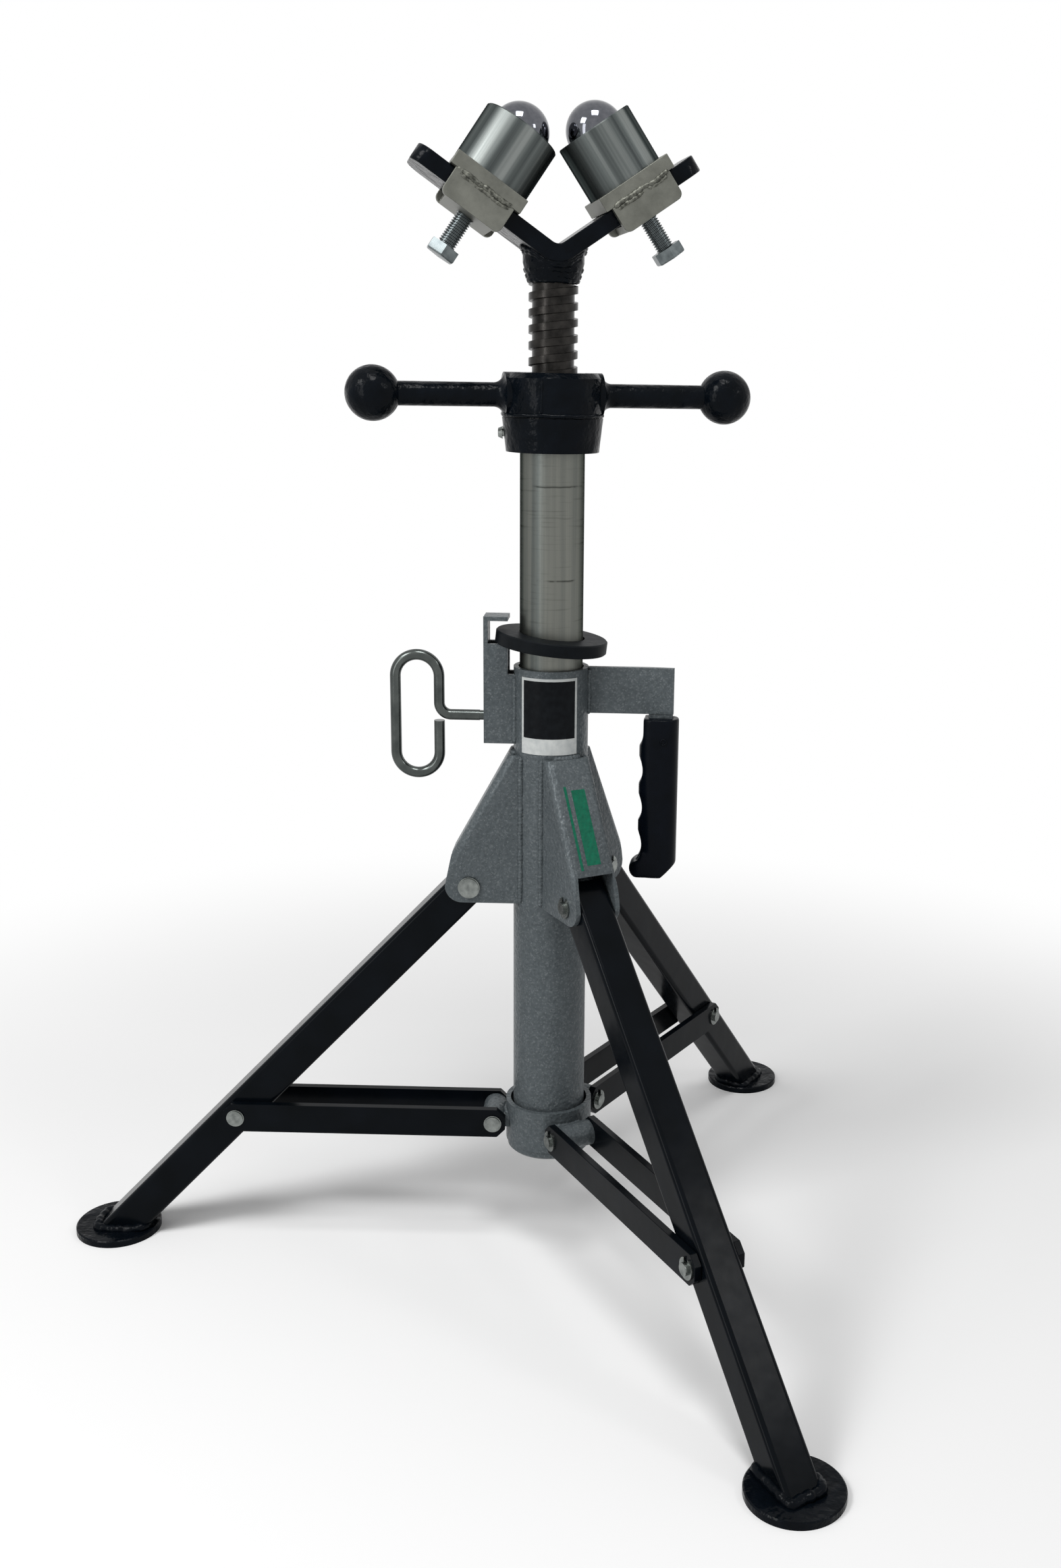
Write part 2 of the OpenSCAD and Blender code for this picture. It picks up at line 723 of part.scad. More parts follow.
module vee_solid() {
    for (i = [0, 1]) arm_frame(i) translate([0, 0, -vee_t]) linear_extrude(vee_t) arm_plan();
    rotate([0, 0, head_turn]) translate([0, 0, bend_z]) rotate([90, 0, 0])
        rotate([0, 0, -90 - vee_angle]) rotate_extrude(angle = 2 * vee_angle)
        translate([vee_bend, -vee_w / 2]) square([vee_t, vee_w]);
}

// One flat bar bent to a V
module vee_bar() {
    color(BLACK) vee_solid();
}

// Weld collar that closes the corner between the screw and the bar
module head_neck() {
    color(BLACK) difference() {
        translate([0, 0, neck_z]) {
            cylinder(r1 = screw_od / 2 + 0.8, r2 = screw_od / 2 + neck_out, h = neck_h);
            translate([0, 0, neck_h]) cylinder(r = screw_od / 2 + neck_out, h = 12);
        }
        translate([0, 0, neck_z - 1]) cylinder(d = screw_od, h = neck_h + 1);
        vee_solid();
        translate([0, 0, bend_z]) rotate([90, 0, head_turn])
            cylinder(r = vee_bend + vee_t / 2, h = 80, center = true);
    }
}

// Ball units, i = 0 on the right arm and 1 on the left
module saddle(i) {
    color(ZINC) saddle_frame(i) {
        for (s = [-1, 1]) translate([0, s * (cheek_in + cheek_t / 2), 0]) rotate([90, 0, 0])
            linear_extrude(cheek_t, center = true) difference() {
                translate([-cheek_len / 2, sole_bottom]) square([cheek_len, slide_room - sole_bottom]);
                for (e = [-1, 1]) translate([e * (cheek_len / 2 - cheek_round), sole_bottom + cheek_round])
                    difference() {
                        translate([e < 0 ? -cheek_round - 1 : 0, -cheek_round - 1])
                            square([cheek_round + 1, cheek_round + 1]);
                        circle(r = cheek_round);
                    }
            }
        difference() {
            translate([-cheek_len / 2 + cheek_round, -cheek_in, sole_bottom])
                cube([cheek_len - 2 * cheek_round, 2 * cheek_in, sole_t]);
            translate([0, 0, sole_bottom - 1]) cylinder(d = bolt_d + 2 * slide_room, h = sole_t + 2);
        }
    }
}

module saddle_plate(i) {
    color(ZINC) saddle_frame(i) translate([-pad_len / 2, -cheek_in - cheek_t, slide_room])
        cube([pad_len, 2 * (cheek_in + cheek_t), pad_t]);
}

module ball_cup(i) {
    color(STEEL) saddle_frame(i) difference() {
        union() {
            translate([0, 0, cup_base]) cylinder(r = cup_r, h = cup_h - 0.8);
            translate([0, 0, cup_rim - 0.8]) cylinder(r1 = cup_r, r2 = cup_r - 0.8, h = 0.8);
        }
        translate([0, 0, ball_h]) sphere(r = cup_bore);
        translate([0, 0, ball_h]) cylinder(r = cup_bore, h = cup_h);
    }
}

// two rows of small balls that the main ball rolls on
module support_balls(i) {
    color(STEEL) saddle_frame(i) translate([0, 0, ball_h]) {
        for (a = [0:60:300]) rotate([0, 150, a]) translate([0, 0, bead_r]) sphere(d = bead_d);
        for (a = [0:36:324]) rotate([0, 118, a]) translate([0, 0, bead_r]) sphere(d = bead_d);
    }
}

module ball_keeper(i) {
    color(STEEL) saddle_frame(i) difference() {
        translate([0, 0, cup_rim - keeper_h]) cylinder(r = cup_bore - press_room, h = keeper_h);
        translate([0, 0, ball_h]) sphere(r = ball_d / 2 + 0.15);
    }
}

module ball(i) {
    color([0.85, 0.85, 0.87]) saddle_frame(i) translate([0, 0, ball_h]) sphere(d = ball_d);
}

module clamp_bolt(i) {
    color(ZINC) saddle_frame(i) {
        translate([0, 0, sole_bottom - bolt_out])
            cylinder(d = bolt_d, h = bolt_out - sole_bottom - vee_t - rest_room - 1);
        translate([0, 0, -vee_t - rest_room - 1]) cylinder(d1 = bolt_d, d2 = bolt_d - 2, h = 1);
        intersection() {
            translate([0, 0, sole_bottom - bolt_out - bolt_head])
                cylinder(d = bolt_af / cos(30), h = bolt_head, $fn = 6);
            translate([0, 0, sole_bottom - bolt_out - bolt_head]) {
                cylinder(d1 = bolt_af, d2 = bolt_af + 5, h = 1.5);
                translate([0, 0, 1.5]) cylinder(d = bolt_af + 5, h = bolt_head - 1.5);
            }
        }
    }
}

// Collar, braces and legs
module slide_collar() {
    color(GREY) translate([0, 0, collar_z]) pipe(collar_od, collar_bore, collar_h);
}

module collar_lugs() {
    color(GREY) for (i = [0:2]) difference() {
        leg_frame(i) difference() {
            union() {
                translate([lug_r, 0, lug_z]) along_y(lug_d, -lug_len / 2, lug_len / 2);
                translate([collar_od / 4, -lug_len / 2, lug_z - lug_foot / 2])
                    cube([lug_r - collar_od / 4, lug_len, lug_foot]);
            }
            translate([lug_r, 0, lug_z]) along_y(pin_d + 2 * pin_room, -lug_len, lug_len);
        }
        translate([0, 0, lug_z - 40]) cylinder(d = collar_od, h = 80);
    }
}

module leg(i) {
    color(BLACK) leg_frame(i) difference() {
        translate([pivot_r, 0, pivot_z]) rotate([0, 180 - leg_angle, 0]) difference() {
            translate([0, 0, -leg_head]) linear_extrude(leg_long + leg_head)
                soft_square(leg_w, leg_w, leg_round);
            translate([0, 0, -leg_head - 1]) linear_extrude(leg_long + leg_head + 2)
                soft_square(leg_w - 2 * leg_wall, leg_w - 2 * leg_wall, leg_round - leg_wall + 0.5);
            along_y(pin_d + 2 * pin_room, -leg_w, leg_w);
            translate([0, 0, brace_at]) along_y(pin_d + 2 * press_room, -leg_w, leg_w);
        }
        translate([foot_r - 200, -100, foot_t - 200]) cube([400, 200, 200]);
    }
}

module foot(i) {
    color(BLACK) leg_frame(i) translate([foot_r, 0, 0]) {
        cylinder(d = foot_d, h = foot_t - 1);
        translate([0, 0, foot_t - 1]) cylinder(d1 = foot_d, d2 = foot_d - 2, h = 1);
    }
}

module cross_pin(i) {
    color(STEEL) leg_frame(i) translate([brace_r, 0, brace_z]) along_y(pin_d, -leg_w / 2, leg_w / 2);
}

module brace_outline() {
    difference() {
        translate([-brace_end, -brace_h / 2]) square([brace_len + 2 * brace_end, brace_h]);
        for (x = [-brace_end, brace_len + brace_end], y = [-brace_h / 2, brace_h / 2])
            translate([x, y]) rotate(45) square(brace_cut * sqrt(2), center = true);
    }
}

module braces(i) {
    color(BLACK) at_lug(i) difference() {
        for (s = [-1, 1]) translate([0, s * (leg_side + brace_t / 2), 0]) rotate([90, 0, 0])
            linear_extrude(brace_t, center = true) brace_outline();
        for (x = [0, brace_len]) translate([x, 0, 0])
            along_y(pin_d + 2 * press_room, -brace_out - 1, brace_out + 1);
    }
}

// through pin at the collar, and the two pin ends that carry the braces at the leg
module brace_pins(i) {
    color(STEEL) at_lug(i) {
        headed_pin(brace_out, brace_head_d, brace_head_t);
        translate([brace_len, 0, 0]) difference() {
            headed_pin(brace_out, brace_head_d, brace_head_t);
            along_y(pin_d + 2, -leg_side, leg_side);
        }
    }
}

module brace_clips(i) {
    color(STEEL) at_lug(i) for (x = [0, brace_len]) translate([x, 0, 0]) clip(brace_out);
}

outer_tube();
stop_ring();
leg_bracket(0);  // leg_bracket_left
leg_bracket(1);  // leg_bracket_front
leg_bracket(2);  // leg_bracket_rear
leg_pins();
leg_pin_clips();
hook_bracket();
lock_nut();
handle_bar();
handle_grip();
clutch_ring();
loop_screw();
mast_tube();
nut_hub();
nut_bars();
nut_knobs();
nut_set_screw();
jack_screw();
head_neck();
vee_bar();
saddle(0);  // saddle_right
saddle(1);  // saddle_left
saddle_plate(0);  // saddle_plate_right
saddle_plate(1);  // saddle_plate_left
ball_cup(0);  // ball_cup_right
ball_cup(1);  // ball_cup_left
support_balls(0);  // support_balls_right
support_balls(1);  // support_balls_left
ball_keeper(0);  // ball_keeper_right
ball_keeper(1);  // ball_keeper_left
ball(0);  // ball_right
ball(1);  // ball_left
clamp_bolt(0);  // clamp_bolt_right
clamp_bolt(1);  // clamp_bolt_left
slide_collar();
collar_lugs();
leg(0);  // leg_left
leg(1);  // leg_front
leg(2);  // leg_rear
foot(0);  // foot_left
foot(1);  // foot_front
foot(2);  // foot_rear
cross_pin(0);  // cross_pin_left
cross_pin(1);  // cross_pin_front
cross_pin(2);  // cross_pin_rear
braces(0);  // braces_left
braces(1);  // braces_front
braces(2);  // braces_rear
brace_pins(0);  // brace_pins_left
brace_pins(1);  // brace_pins_front
brace_pins(2);  // brace_pins_rear
brace_clips(0);  // brace_clips_left
brace_clips(1);  // brace_clips_front
brace_clips(2);  // brace_clips_rear
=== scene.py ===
import math

import bmesh
import bpy
from mathutils import Matrix, Vector, noise


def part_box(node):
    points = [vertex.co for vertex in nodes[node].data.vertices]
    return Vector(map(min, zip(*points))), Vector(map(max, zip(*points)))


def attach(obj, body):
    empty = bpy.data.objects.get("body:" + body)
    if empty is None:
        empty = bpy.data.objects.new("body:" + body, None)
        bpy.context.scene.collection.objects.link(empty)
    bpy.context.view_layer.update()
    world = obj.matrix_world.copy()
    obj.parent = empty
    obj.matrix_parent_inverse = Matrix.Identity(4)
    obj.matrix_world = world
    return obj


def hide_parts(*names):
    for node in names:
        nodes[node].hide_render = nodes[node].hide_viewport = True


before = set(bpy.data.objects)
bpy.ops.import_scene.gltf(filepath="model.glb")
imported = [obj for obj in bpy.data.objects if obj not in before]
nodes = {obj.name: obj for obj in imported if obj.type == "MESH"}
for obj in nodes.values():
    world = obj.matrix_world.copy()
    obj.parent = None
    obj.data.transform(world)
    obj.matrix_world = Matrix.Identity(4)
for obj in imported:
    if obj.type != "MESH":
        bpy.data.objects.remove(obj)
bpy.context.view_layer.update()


# Post: a pipe with folded sheet brackets, a stop ring, a hook bracket and a flat handle bar, welded on
# and then sprayed with one coat of hammer paint. The collar and its lugs are painted in the same batch.
def linear(code):
    """A colour written as sRGB hex, as linear RGBA."""
    parts = [int(code[i:i + 2], 16) / 255 for i in (1, 3, 5)]
    return [c / 12.92 if c <= 0.04045 else ((c + 0.055) / 1.055) ** 2.4 for c in parts] + [1.0]


def add(tree, kind, links=None, stops=(), **settings):
    """Adds a node: links give its inputs a value or another node's output, stops are a ramp's colours.

    Inputs 0, 6 and 7 of a colour mix are its share and its two colours, and output 2 is what it gives.
    """
    made = tree.nodes.new(kind)
    for name, value in settings.items():
        setattr(made, name, value)
    for name, value in (links or {}).items():
        if isinstance(value, bpy.types.NodeSocket):
            tree.links.new(value, made.inputs[name])
        else:
            made.inputs[name].default_value = value
    for i, (at, code) in enumerate(stops):
        point = made.color_ramp.elements[i] if i < 2 else made.color_ramp.elements.new(at)
        point.position = at
        point.color = linear(code)
    return made


def new_finish(name):
    """An empty material, its node tree, and the object coordinates that its patterns read."""
    mat = bpy.data.materials.new(name)
    mat.use_nodes = True
    mat.node_tree.nodes.clear()
    return mat, mat.node_tree, add(mat.node_tree, "ShaderNodeTexCoord").outputs["Object"]


def dress(finish, *names):
    """Gives CAD nodes a finish."""
    for name in names:
        nodes[name].data.materials.clear()
        nodes[name].data.materials.append(finish)


def soften(width, *names):
    """Rounds the sharp edges of CAD nodes, as paint or tumbling does."""
    for name in names:
        weld = nodes[name].modifiers.new("joined", "WELD")
        weld.merge_threshold = 1e-5
        flat = nodes[name].modifiers.new("flats", "DECIMATE")
        flat.decimate_type, flat.angle_limit = "DISSOLVE", math.radians(0.4)
        edge = nodes[name].modifiers.new("edges", "BEVEL")
        edge.width, edge.segments, edge.limit_method = width, 2, "ANGLE"
        edge.angle_limit = math.radians(35)
        edge.harden_normals = True


def piece(name, bm, body, finish, smooth=40):
    """Makes a bmesh an object that rides on a body. Edges sharper than smooth, in degrees, stay sharp."""
    mesh = bpy.data.meshes.new(name)
    bmesh.ops.recalc_face_normals(bm, faces=bm.faces)
    bm.to_mesh(mesh)
    bm.free()
    mesh.materials.append(finish)
    made = bpy.data.objects.new(name, mesh)
    bpy.context.scene.collection.objects.link(made)
    mesh.shade_smooth()
    mesh.set_sharp_from_angle(angle=math.radians(smooth))
    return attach(made, body)


# Hammer paint, an alkyd with silicone and aluminium flake: the wet film pulls into dimples of 3 mm
# and the flake gathers on their rims, so that lit faces glitter and the grey clouds over some 35 mm.
# Real flake is too fine to show, so it is drawn at about 1 mm.
dimple_scale, dimple_depth = 330.0, 0.0012
rim_share, flake_share = 0.3, 0.16
hammer_paint, tree, place = new_finish("grey_hammer_paint")
clouds = add(tree, "ShaderNodeTexNoise", {"Vector": place, "Scale": 28.0, "Detail": 3.0})
dimples = add(tree, "ShaderNodeTexVoronoi", {"Vector": place, "Scale": dimple_scale}, feature="SMOOTH_F1")
flake = add(tree, "ShaderNodeTexVoronoi", {"Vector": place, "Scale": 900.0})
tint = add(tree, "ShaderNodeValToRGB", {"Fac": clouds.outputs["Fac"]},
           ((0.3, "#494f52"), (0.7, "#53595c")))
rims = add(tree, "ShaderNodeValToRGB", {"Fac": dimples.outputs["Distance"]},
           ((0.25, "#444a4c"), (0.75, "#5f6568")))
spark = add(tree, "ShaderNodeValToRGB", {"Fac": flake.outputs["Color"]},
            ((0.6, "#3f4649"), (0.98, "#a9aeaf")))
film = add(tree, "ShaderNodeMix", {0: rim_share, 6: tint.outputs["Color"], 7: rims.outputs["Color"]},
           data_type="RGBA")
colour = add(tree, "ShaderNodeMix", {0: flake_share, 6: film.outputs[2], 7: spark.outputs["Color"]},
             data_type="RGBA")
gloss = add(tree, "ShaderNodeMapRange",
            {"Value": flake.outputs["Distance"], "To Min": 0.26, "To Max": 0.44})
relief = add(tree, "ShaderNodeBump",
             {"Height": dimples.outputs["Distance"], "Strength": 0.5, "Distance": dimple_depth})
shader = add(tree, "ShaderNodeBsdfPrincipled",
             {"Base Color": colour.outputs[2], "Metallic": 0.15, "Roughness": gloss.outputs["Result"],
              "Specular IOR Level": 0.12, "Normal": relief.outputs["Normal"]})
add(tree, "ShaderNodeOutputMaterial", {"Surface": shader.outputs["BSDF"]})
sheet_work = ("leg_bracket_left", "leg_bracket_front", "leg_bracket_rear", "hook_bracket", "handle_bar")
dress(hammer_paint, "outer_tube", "stop_ring", *sheet_work, "slide_collar", "collar_lugs")


# Welds of the post: fillets laid by hand along the edges of the brackets, the hook bracket and the handle
# bar, under the paint. Each is a row of frozen ripples about 3 mm apart.
def bead(bm, path, radius, pitch=0.003, closed=False, rough=0.16):
    """A weld bead along a path of points: rings of metal frozen one behind the other, four to a ripple."""
    swell, sway = 130, 95  # per metre: the bead swells over some 8 mm and wanders over some 10 mm
    path = [Vector(p) for p in path]
    ends = path + path[:1] if closed else path
    spans = [(b - a).length for a, b in zip(ends, ends[1:])]
    length = sum(spans)
    count = max(8, round(4 * length / pitch))
    rings = []
    for k in range(count):
        run = length * k / (count if closed else count - 1)
        at, i = run, 0
        while at > spans[i] and i < len(spans) - 1:
            at -= spans[i]
            i += 1
        centre = ends[i].lerp(ends[i + 1], min(1, at / spans[i]))
        ripple = 0.8 + 0.24 * ((run / pitch) % 1) + 0.22 * noise.noise(centre * swell)
        if not closed:
            ripple *= min(1, 0.35 + min(run, length - run) / radius)
        turned = (ends[i + 1] - ends[i]).to_track_quat("Z", "X").to_matrix().to_4x4()
        centre += radius * rough * noise.noise_vector(centre * sway)
        ring = bmesh.ops.create_circle(bm, segments=8, radius=radius * ripple,
                                       matrix=Matrix.Translation(centre) @ turned)
        rings.append(list(dict.fromkeys(e for v in ring["verts"] for e in v.link_edges)))
    for a, b in zip(rings, rings[1:] + rings[:1] if closed else rings[1:]):
        bmesh.ops.bridge_loops(bm, edges=a + b)
    if not closed:
        bmesh.ops.edgeloop_fill(bm, edges=rings[0])
        bmesh.ops.edgeloop_fill(bm, edges=rings[-1])


# A fixed seed, so that the beads wander the same way in every run.
noise.seed_set(5)
post_r, post_top = 0.03025, 0.512
leg_turns = {"left": Matrix.Rotation(math.pi, 4, "Z"),
             "front": Matrix.Rotation(-math.pi / 3, 4, "Z"),
             "rear": Matrix.Rotation(math.pi / 3, 4, "Z")}
bracket_low, bracket_high, bracket_side = 0.3165, 0.4405, 0.0195
hook_low, hook_high, hook_side = 0.4495, 0.504, 0.0112
bar_low, bar_high, bar_side, bar_root = 0.4745, post_top - 0.001, 0.0029, post_r + 0.0003
side_weld, top_weld, hook_weld, bar_weld, bar_end_weld = 0.0026, 0.0028, 0.0024, 0.002, 0.0018
bm = bmesh.new()
for turn in leg_turns.values():
    for side in (-1, 1):
        y = side * (bracket_side + 0.0004)
        x = math.sqrt(post_r ** 2 - y ** 2) + 0.0002
        bead(bm, [turn @ Vector((x, y, z)) for z in (bracket_low, bracket_high)], side_weld)
    top_edge = [(post_r * math.cos(a / 10), post_r * math.sin(a / 10), bracket_high + 0.0005)
                for a in range(-4, 5)]
    bead(bm, [turn @ Vector(p) for p in top_edge], top_weld)
for side in (-1, 1):
    x = -math.sqrt(post_r ** 2 - hook_side ** 2) - 0.0003
    bead(bm, [(x, side * hook_side, z) for z in (hook_low, hook_high)], hook_weld)
for side in (-1, 1):
    bead(bm, [(bar_root, side * bar_side, z) for z in (bar_low, bar_high)], bar_weld)
bead(bm, [(bar_root, y, bar_low) for y in (-bar_side, bar_side)], bar_end_weld)
piece("post_welds", bm, "post", hammer_paint, 50)
soften(0.0007, *sheet_work)


# Blank sticker: vinyl film of 0.2 mm wrapped on the front of the post and held by its own glue.
# It is pale, with a dark field printed inside a narrow border.
# Printed vinyl: a smooth film with a satin shine, and dust in patches of 4 to 5 mm that dulls its white.
sticker, tree, place = new_finish("printed_vinyl_film")
dust = add(tree, "ShaderNodeTexNoise", {"Vector": place, "Scale": 220.0, "Detail": 4.0})
colour = add(tree, "ShaderNodeValToRGB", {"Fac": dust.outputs["Fac"]},
             ((0.3, "#a9adad"), (0.7, "#bcbfbd")))
shader = add(tree, "ShaderNodeBsdfPrincipled",
             {"Base Color": colour.outputs["Color"], "Roughness": 0.35, "Specular IOR Level": 0.2})
add(tree, "ShaderNodeOutputMaterial", {"Surface": shader.outputs["BSDF"]})
# Black print on it: a thin ink, a little smoother than the film, that takes the same dust.
sticker_ink, tree, place = new_finish("black_print_on_vinyl")
dust = add(tree, "ShaderNodeTexNoise", {"Vector": place, "Scale": 220.0, "Detail": 4.0})
colour = add(tree, "ShaderNodeValToRGB", {"Fac": dust.outputs["Fac"]},
             ((0.3, "#0a0c0f"), (0.7, "#121518")))
shader = add(tree, "ShaderNodeBsdfPrincipled",
             {"Base Color": colour.outputs["Color"], "Roughness": 0.3, "Specular IOR Level": 0.06})
add(tree, "ShaderNodeOutputMaterial", {"Surface": shader.outputs["BSDF"]})
sticker_low, sticker_high, sticker_wrap = 0.4445, 0.5065, math.radians(92)
border, foot_strip, glue, film_thick = 0.0022, 0.013, 0.0001, 0.0002
heights = (sticker_low, sticker_low + foot_strip, sticker_high - border, sticker_high)
bm = bmesh.new()
turned = Matrix.Rotation(-math.pi / 2 - sticker_wrap / 2, 3, "Z")
column = [bm.verts.new(turned @ Vector((post_r + glue, 0, z))) for z in heights]
edges = [bm.edges.new(pair) for pair in zip(column, column[1:])]
bmesh.ops.spin(bm, geom=column + edges, cent=(0, 0, 0), axis=(0, 0, 1), angle=sticker_wrap, steps=46,
               use_merge=False)
bmesh.ops.recalc_face_normals(bm, faces=bm.faces)
for face in bm.faces:
    middle = face.calc_center_median()
    swing = math.atan2(middle.x, -middle.y)
    inside = abs(swing) < sticker_wrap / 2 - border / post_r
    face.material_index = 1 if inside and heights[1] < middle.z < heights[2] else 0
    if face.normal.x * middle.x + face.normal.y * middle.y < 0:
        face.normal_flip()
bmesh.ops.solidify(bm, geom=bm.faces[:], thickness=-film_thick)
label = piece("blank_sticker", bm, "post", sticker, 60)
label.data.materials.append(sticker_ink)


# Painted stripes on the web of the front bracket: one thin and one broad, stencilled over the grey
# by hand, so they follow the slope of the folded sheet.
# Green stencil paint: a thin alkyd coat through which the 3 mm dimples of the grey still show,
# worn a little paler in patches of about 4 mm.
stripe_paint, tree, place = new_finish("green_stencil_paint")
wear = add(tree, "ShaderNodeTexNoise", {"Vector": place, "Scale": 260.0, "Detail": 4.0})
dimples = add(tree, "ShaderNodeTexVoronoi", {"Vector": place, "Scale": dimple_scale}, feature="SMOOTH_F1")
colour = add(tree, "ShaderNodeValToRGB", {"Fac": wear.outputs["Fac"]},
             ((0.3, "#04523d"), (0.75, "#0a6349")))
relief = add(tree, "ShaderNodeBump",
             {"Height": dimples.outputs["Distance"], "Strength": 0.5, "Distance": dimple_depth})
shader = add(tree, "ShaderNodeBsdfPrincipled",
             {"Base Color": colour.outputs["Color"], "Roughness": 0.42, "Specular IOR Level": 0.15,
              "Normal": relief.outputs["Normal"]})
add(tree, "ShaderNodeOutputMaterial", {"Surface": shader.outputs["BSDF"]})
pivot_r, pivot_z = 0.0654, 0.329
knee_out, knee_up, top_out, top_up = 0.0145, 0.028, 0.0035 - 0.03515, 0.112
slope = math.atan2(knee_out - top_out, top_up - knee_up)
on_web = (leg_turns["front"] @ Matrix.Translation((pivot_r + knee_out, 0, pivot_z + knee_up))
          @ Matrix.Rotation(-slope, 4, "Y"))
stripe_lift, stripe_middle, stripe_thick = 0.00012, 0.0398, 0.0002
bm = bmesh.new()
for y, wide, tall in ((-0.0098, 0.0023, 0.069), (0.0012, 0.0120, 0.062)):
    slab = bmesh.ops.create_grid(bm, x_segments=8, y_segments=24, size=0.5)["verts"]
    flat = (Matrix.Translation((stripe_lift, y, stripe_middle)) @ Matrix.Rotation(math.pi / 2, 4, "Y")
            @ Matrix.Diagonal((tall, wide, 1, 1)))
    bmesh.ops.transform(bm, matrix=on_web @ flat, verts=slab)
bmesh.ops.solidify(bm, geom=bm.faces[:], thickness=stripe_thick)
piece("web_stripes", bm, "post", stripe_paint, 40)


# Pins, clips, lock nut, set screw and loop screw: turned pins, pressed clips and one bent wire.
# The pins are pushed through the sheet and held by the clips, and the loop screw turns in the nut.
# Bright drawn steel: plain metal with soil in patches of 5 mm, and scuffs of 1 mm that break its shine.
bright_steel, tree, place = new_finish("bright_drawn_steel")
soil = add(tree, "ShaderNodeTexNoise", {"Vector": place, "Scale": 200.0, "Detail": 3.0})
scuff = add(tree, "ShaderNodeTexNoise", {"Vector": place, "Scale": 900.0, "Detail": 2.0})
colour = add(tree, "ShaderNodeValToRGB", {"Fac": soil.outputs["Fac"]},
             ((0.3, "#686c6a"), (0.7, "#8a8e8b")))
gloss = add(tree, "ShaderNodeMapRange", {"Value": scuff.outputs["Fac"], "To Min": 0.16, "To Max": 0.34})
shader = add(tree, "ShaderNodeBsdfPrincipled",
             {"Base Color": colour.outputs["Color"], "Metallic": 1.0, "Roughness": gloss.outputs["Result"]})
add(tree, "ShaderNodeOutputMaterial", {"Surface": shader.outputs["BSDF"]})
dress(bright_steel, *[n for n in nodes if "pin" in n or "clip" in n], "lock_nut", "nut_set_screw")
# Plated wire: rubbed by hands in stretches of about 11 mm, so it is darker and smoother than the pins.
bent_wire, tree, place = new_finish("plated_bent_wire")
rub = add(tree, "ShaderNodeTexNoise", {"Vector": place, "Scale": 90.0, "Detail": 4.0})
colour = add(tree, "ShaderNodeValToRGB", {"Fac": rub.outputs["Fac"]},
             ((0.3, "#424645"), (0.7, "#565a58")))
gloss = add(tree, "ShaderNodeMapRange", {"Value": rub.outputs["Fac"], "To Min": 0.14, "To Max": 0.26})
shader = add(tree, "ShaderNodeBsdfPrincipled",
             {"Base Color": colour.outputs["Color"], "Metallic": 1.0, "Roughness": gloss.outputs["Result"]})
add(tree, "ShaderNodeOutputMaterial", {"Surface": shader.outputs["BSDF"]})
dress(bent_wire, "loop_screw")


# Carry grip: black vinyl moulded over the tang of the handle bar, so its edges are soft.
# A pin that held the tang in the mould left a small round mark.
def round_path(radius, count):
    """Points evenly round a circle, as pairs."""
    return [(radius * math.cos(a * math.tau / count), radius * math.sin(a * math.tau / count))
            for a in range(count)]


# Moulded vinyl: deep black with a dull shine in patches of 14 mm. The blasted mould leaves a grain,
# drawn at 1 mm because the real one is too fine to show.
vinyl, tree, place = new_finish("moulded_vinyl")
grain = add(tree, "ShaderNodeTexNoise", {"Vector": place, "Scale": 900.0, "Detail": 2.0})
patches = add(tree, "ShaderNodeTexNoise", {"Vector": place, "Scale": 70.0, "Detail": 3.0})
colour = add(tree, "ShaderNodeValToRGB", {"Fac": patches.outputs["Fac"]},
             ((0.3, "#04070c"), (0.7, "#070b12")))
gloss = add(tree, "ShaderNodeMapRange", {"Value": patches.outputs["Fac"], "To Min": 0.2, "To Max": 0.34})
relief = add(tree, "ShaderNodeBump",
             {"Height": grain.outputs["Fac"], "Strength": 0.2, "Distance": 0.0003})
shader = add(tree, "ShaderNodeBsdfPrincipled",
             {"Base Color": colour.outputs["Color"], "Roughness": gloss.outputs["Result"],
              "Specular IOR Level": 0.06, "Normal": relief.outputs["Normal"]})
add(tree, "ShaderNodeOutputMaterial", {"Surface": shader.outputs["BSDF"]})
dress(vinyl, "handle_grip")
grip = nodes["handle_grip"]
grip.modifiers.new("joined", "WELD").merge_threshold = 1e-5
even = grip.modifiers.new("even", "REMESH")
even.mode, even.voxel_size, even.use_smooth_shade = "VOXEL", 0.0011, True
rounded = grip.modifiers.new("rounded", "SMOOTH")
rounded.factor, rounded.iterations = 0.5, 5
bend_x, bend_turn = 0.07925, math.radians(-5)
mark_x, mark_y, mark_z, mark_r, mark_bead = 0.0135, -0.012, 0.453, 0.0023, 0.0008
on_grip = Matrix.Translation((bend_x, 0, 0)) @ Matrix.Rotation(bend_turn, 4, "Z")
bm = bmesh.new()
bead(bm, [on_grip @ Vector((mark_x + x, mark_y, mark_z + z)) for x, z in round_path(mark_r, 24)],
     mark_bead, closed=True, rough=0)
piece("grip_mark", bm, "post", vinyl, 60)


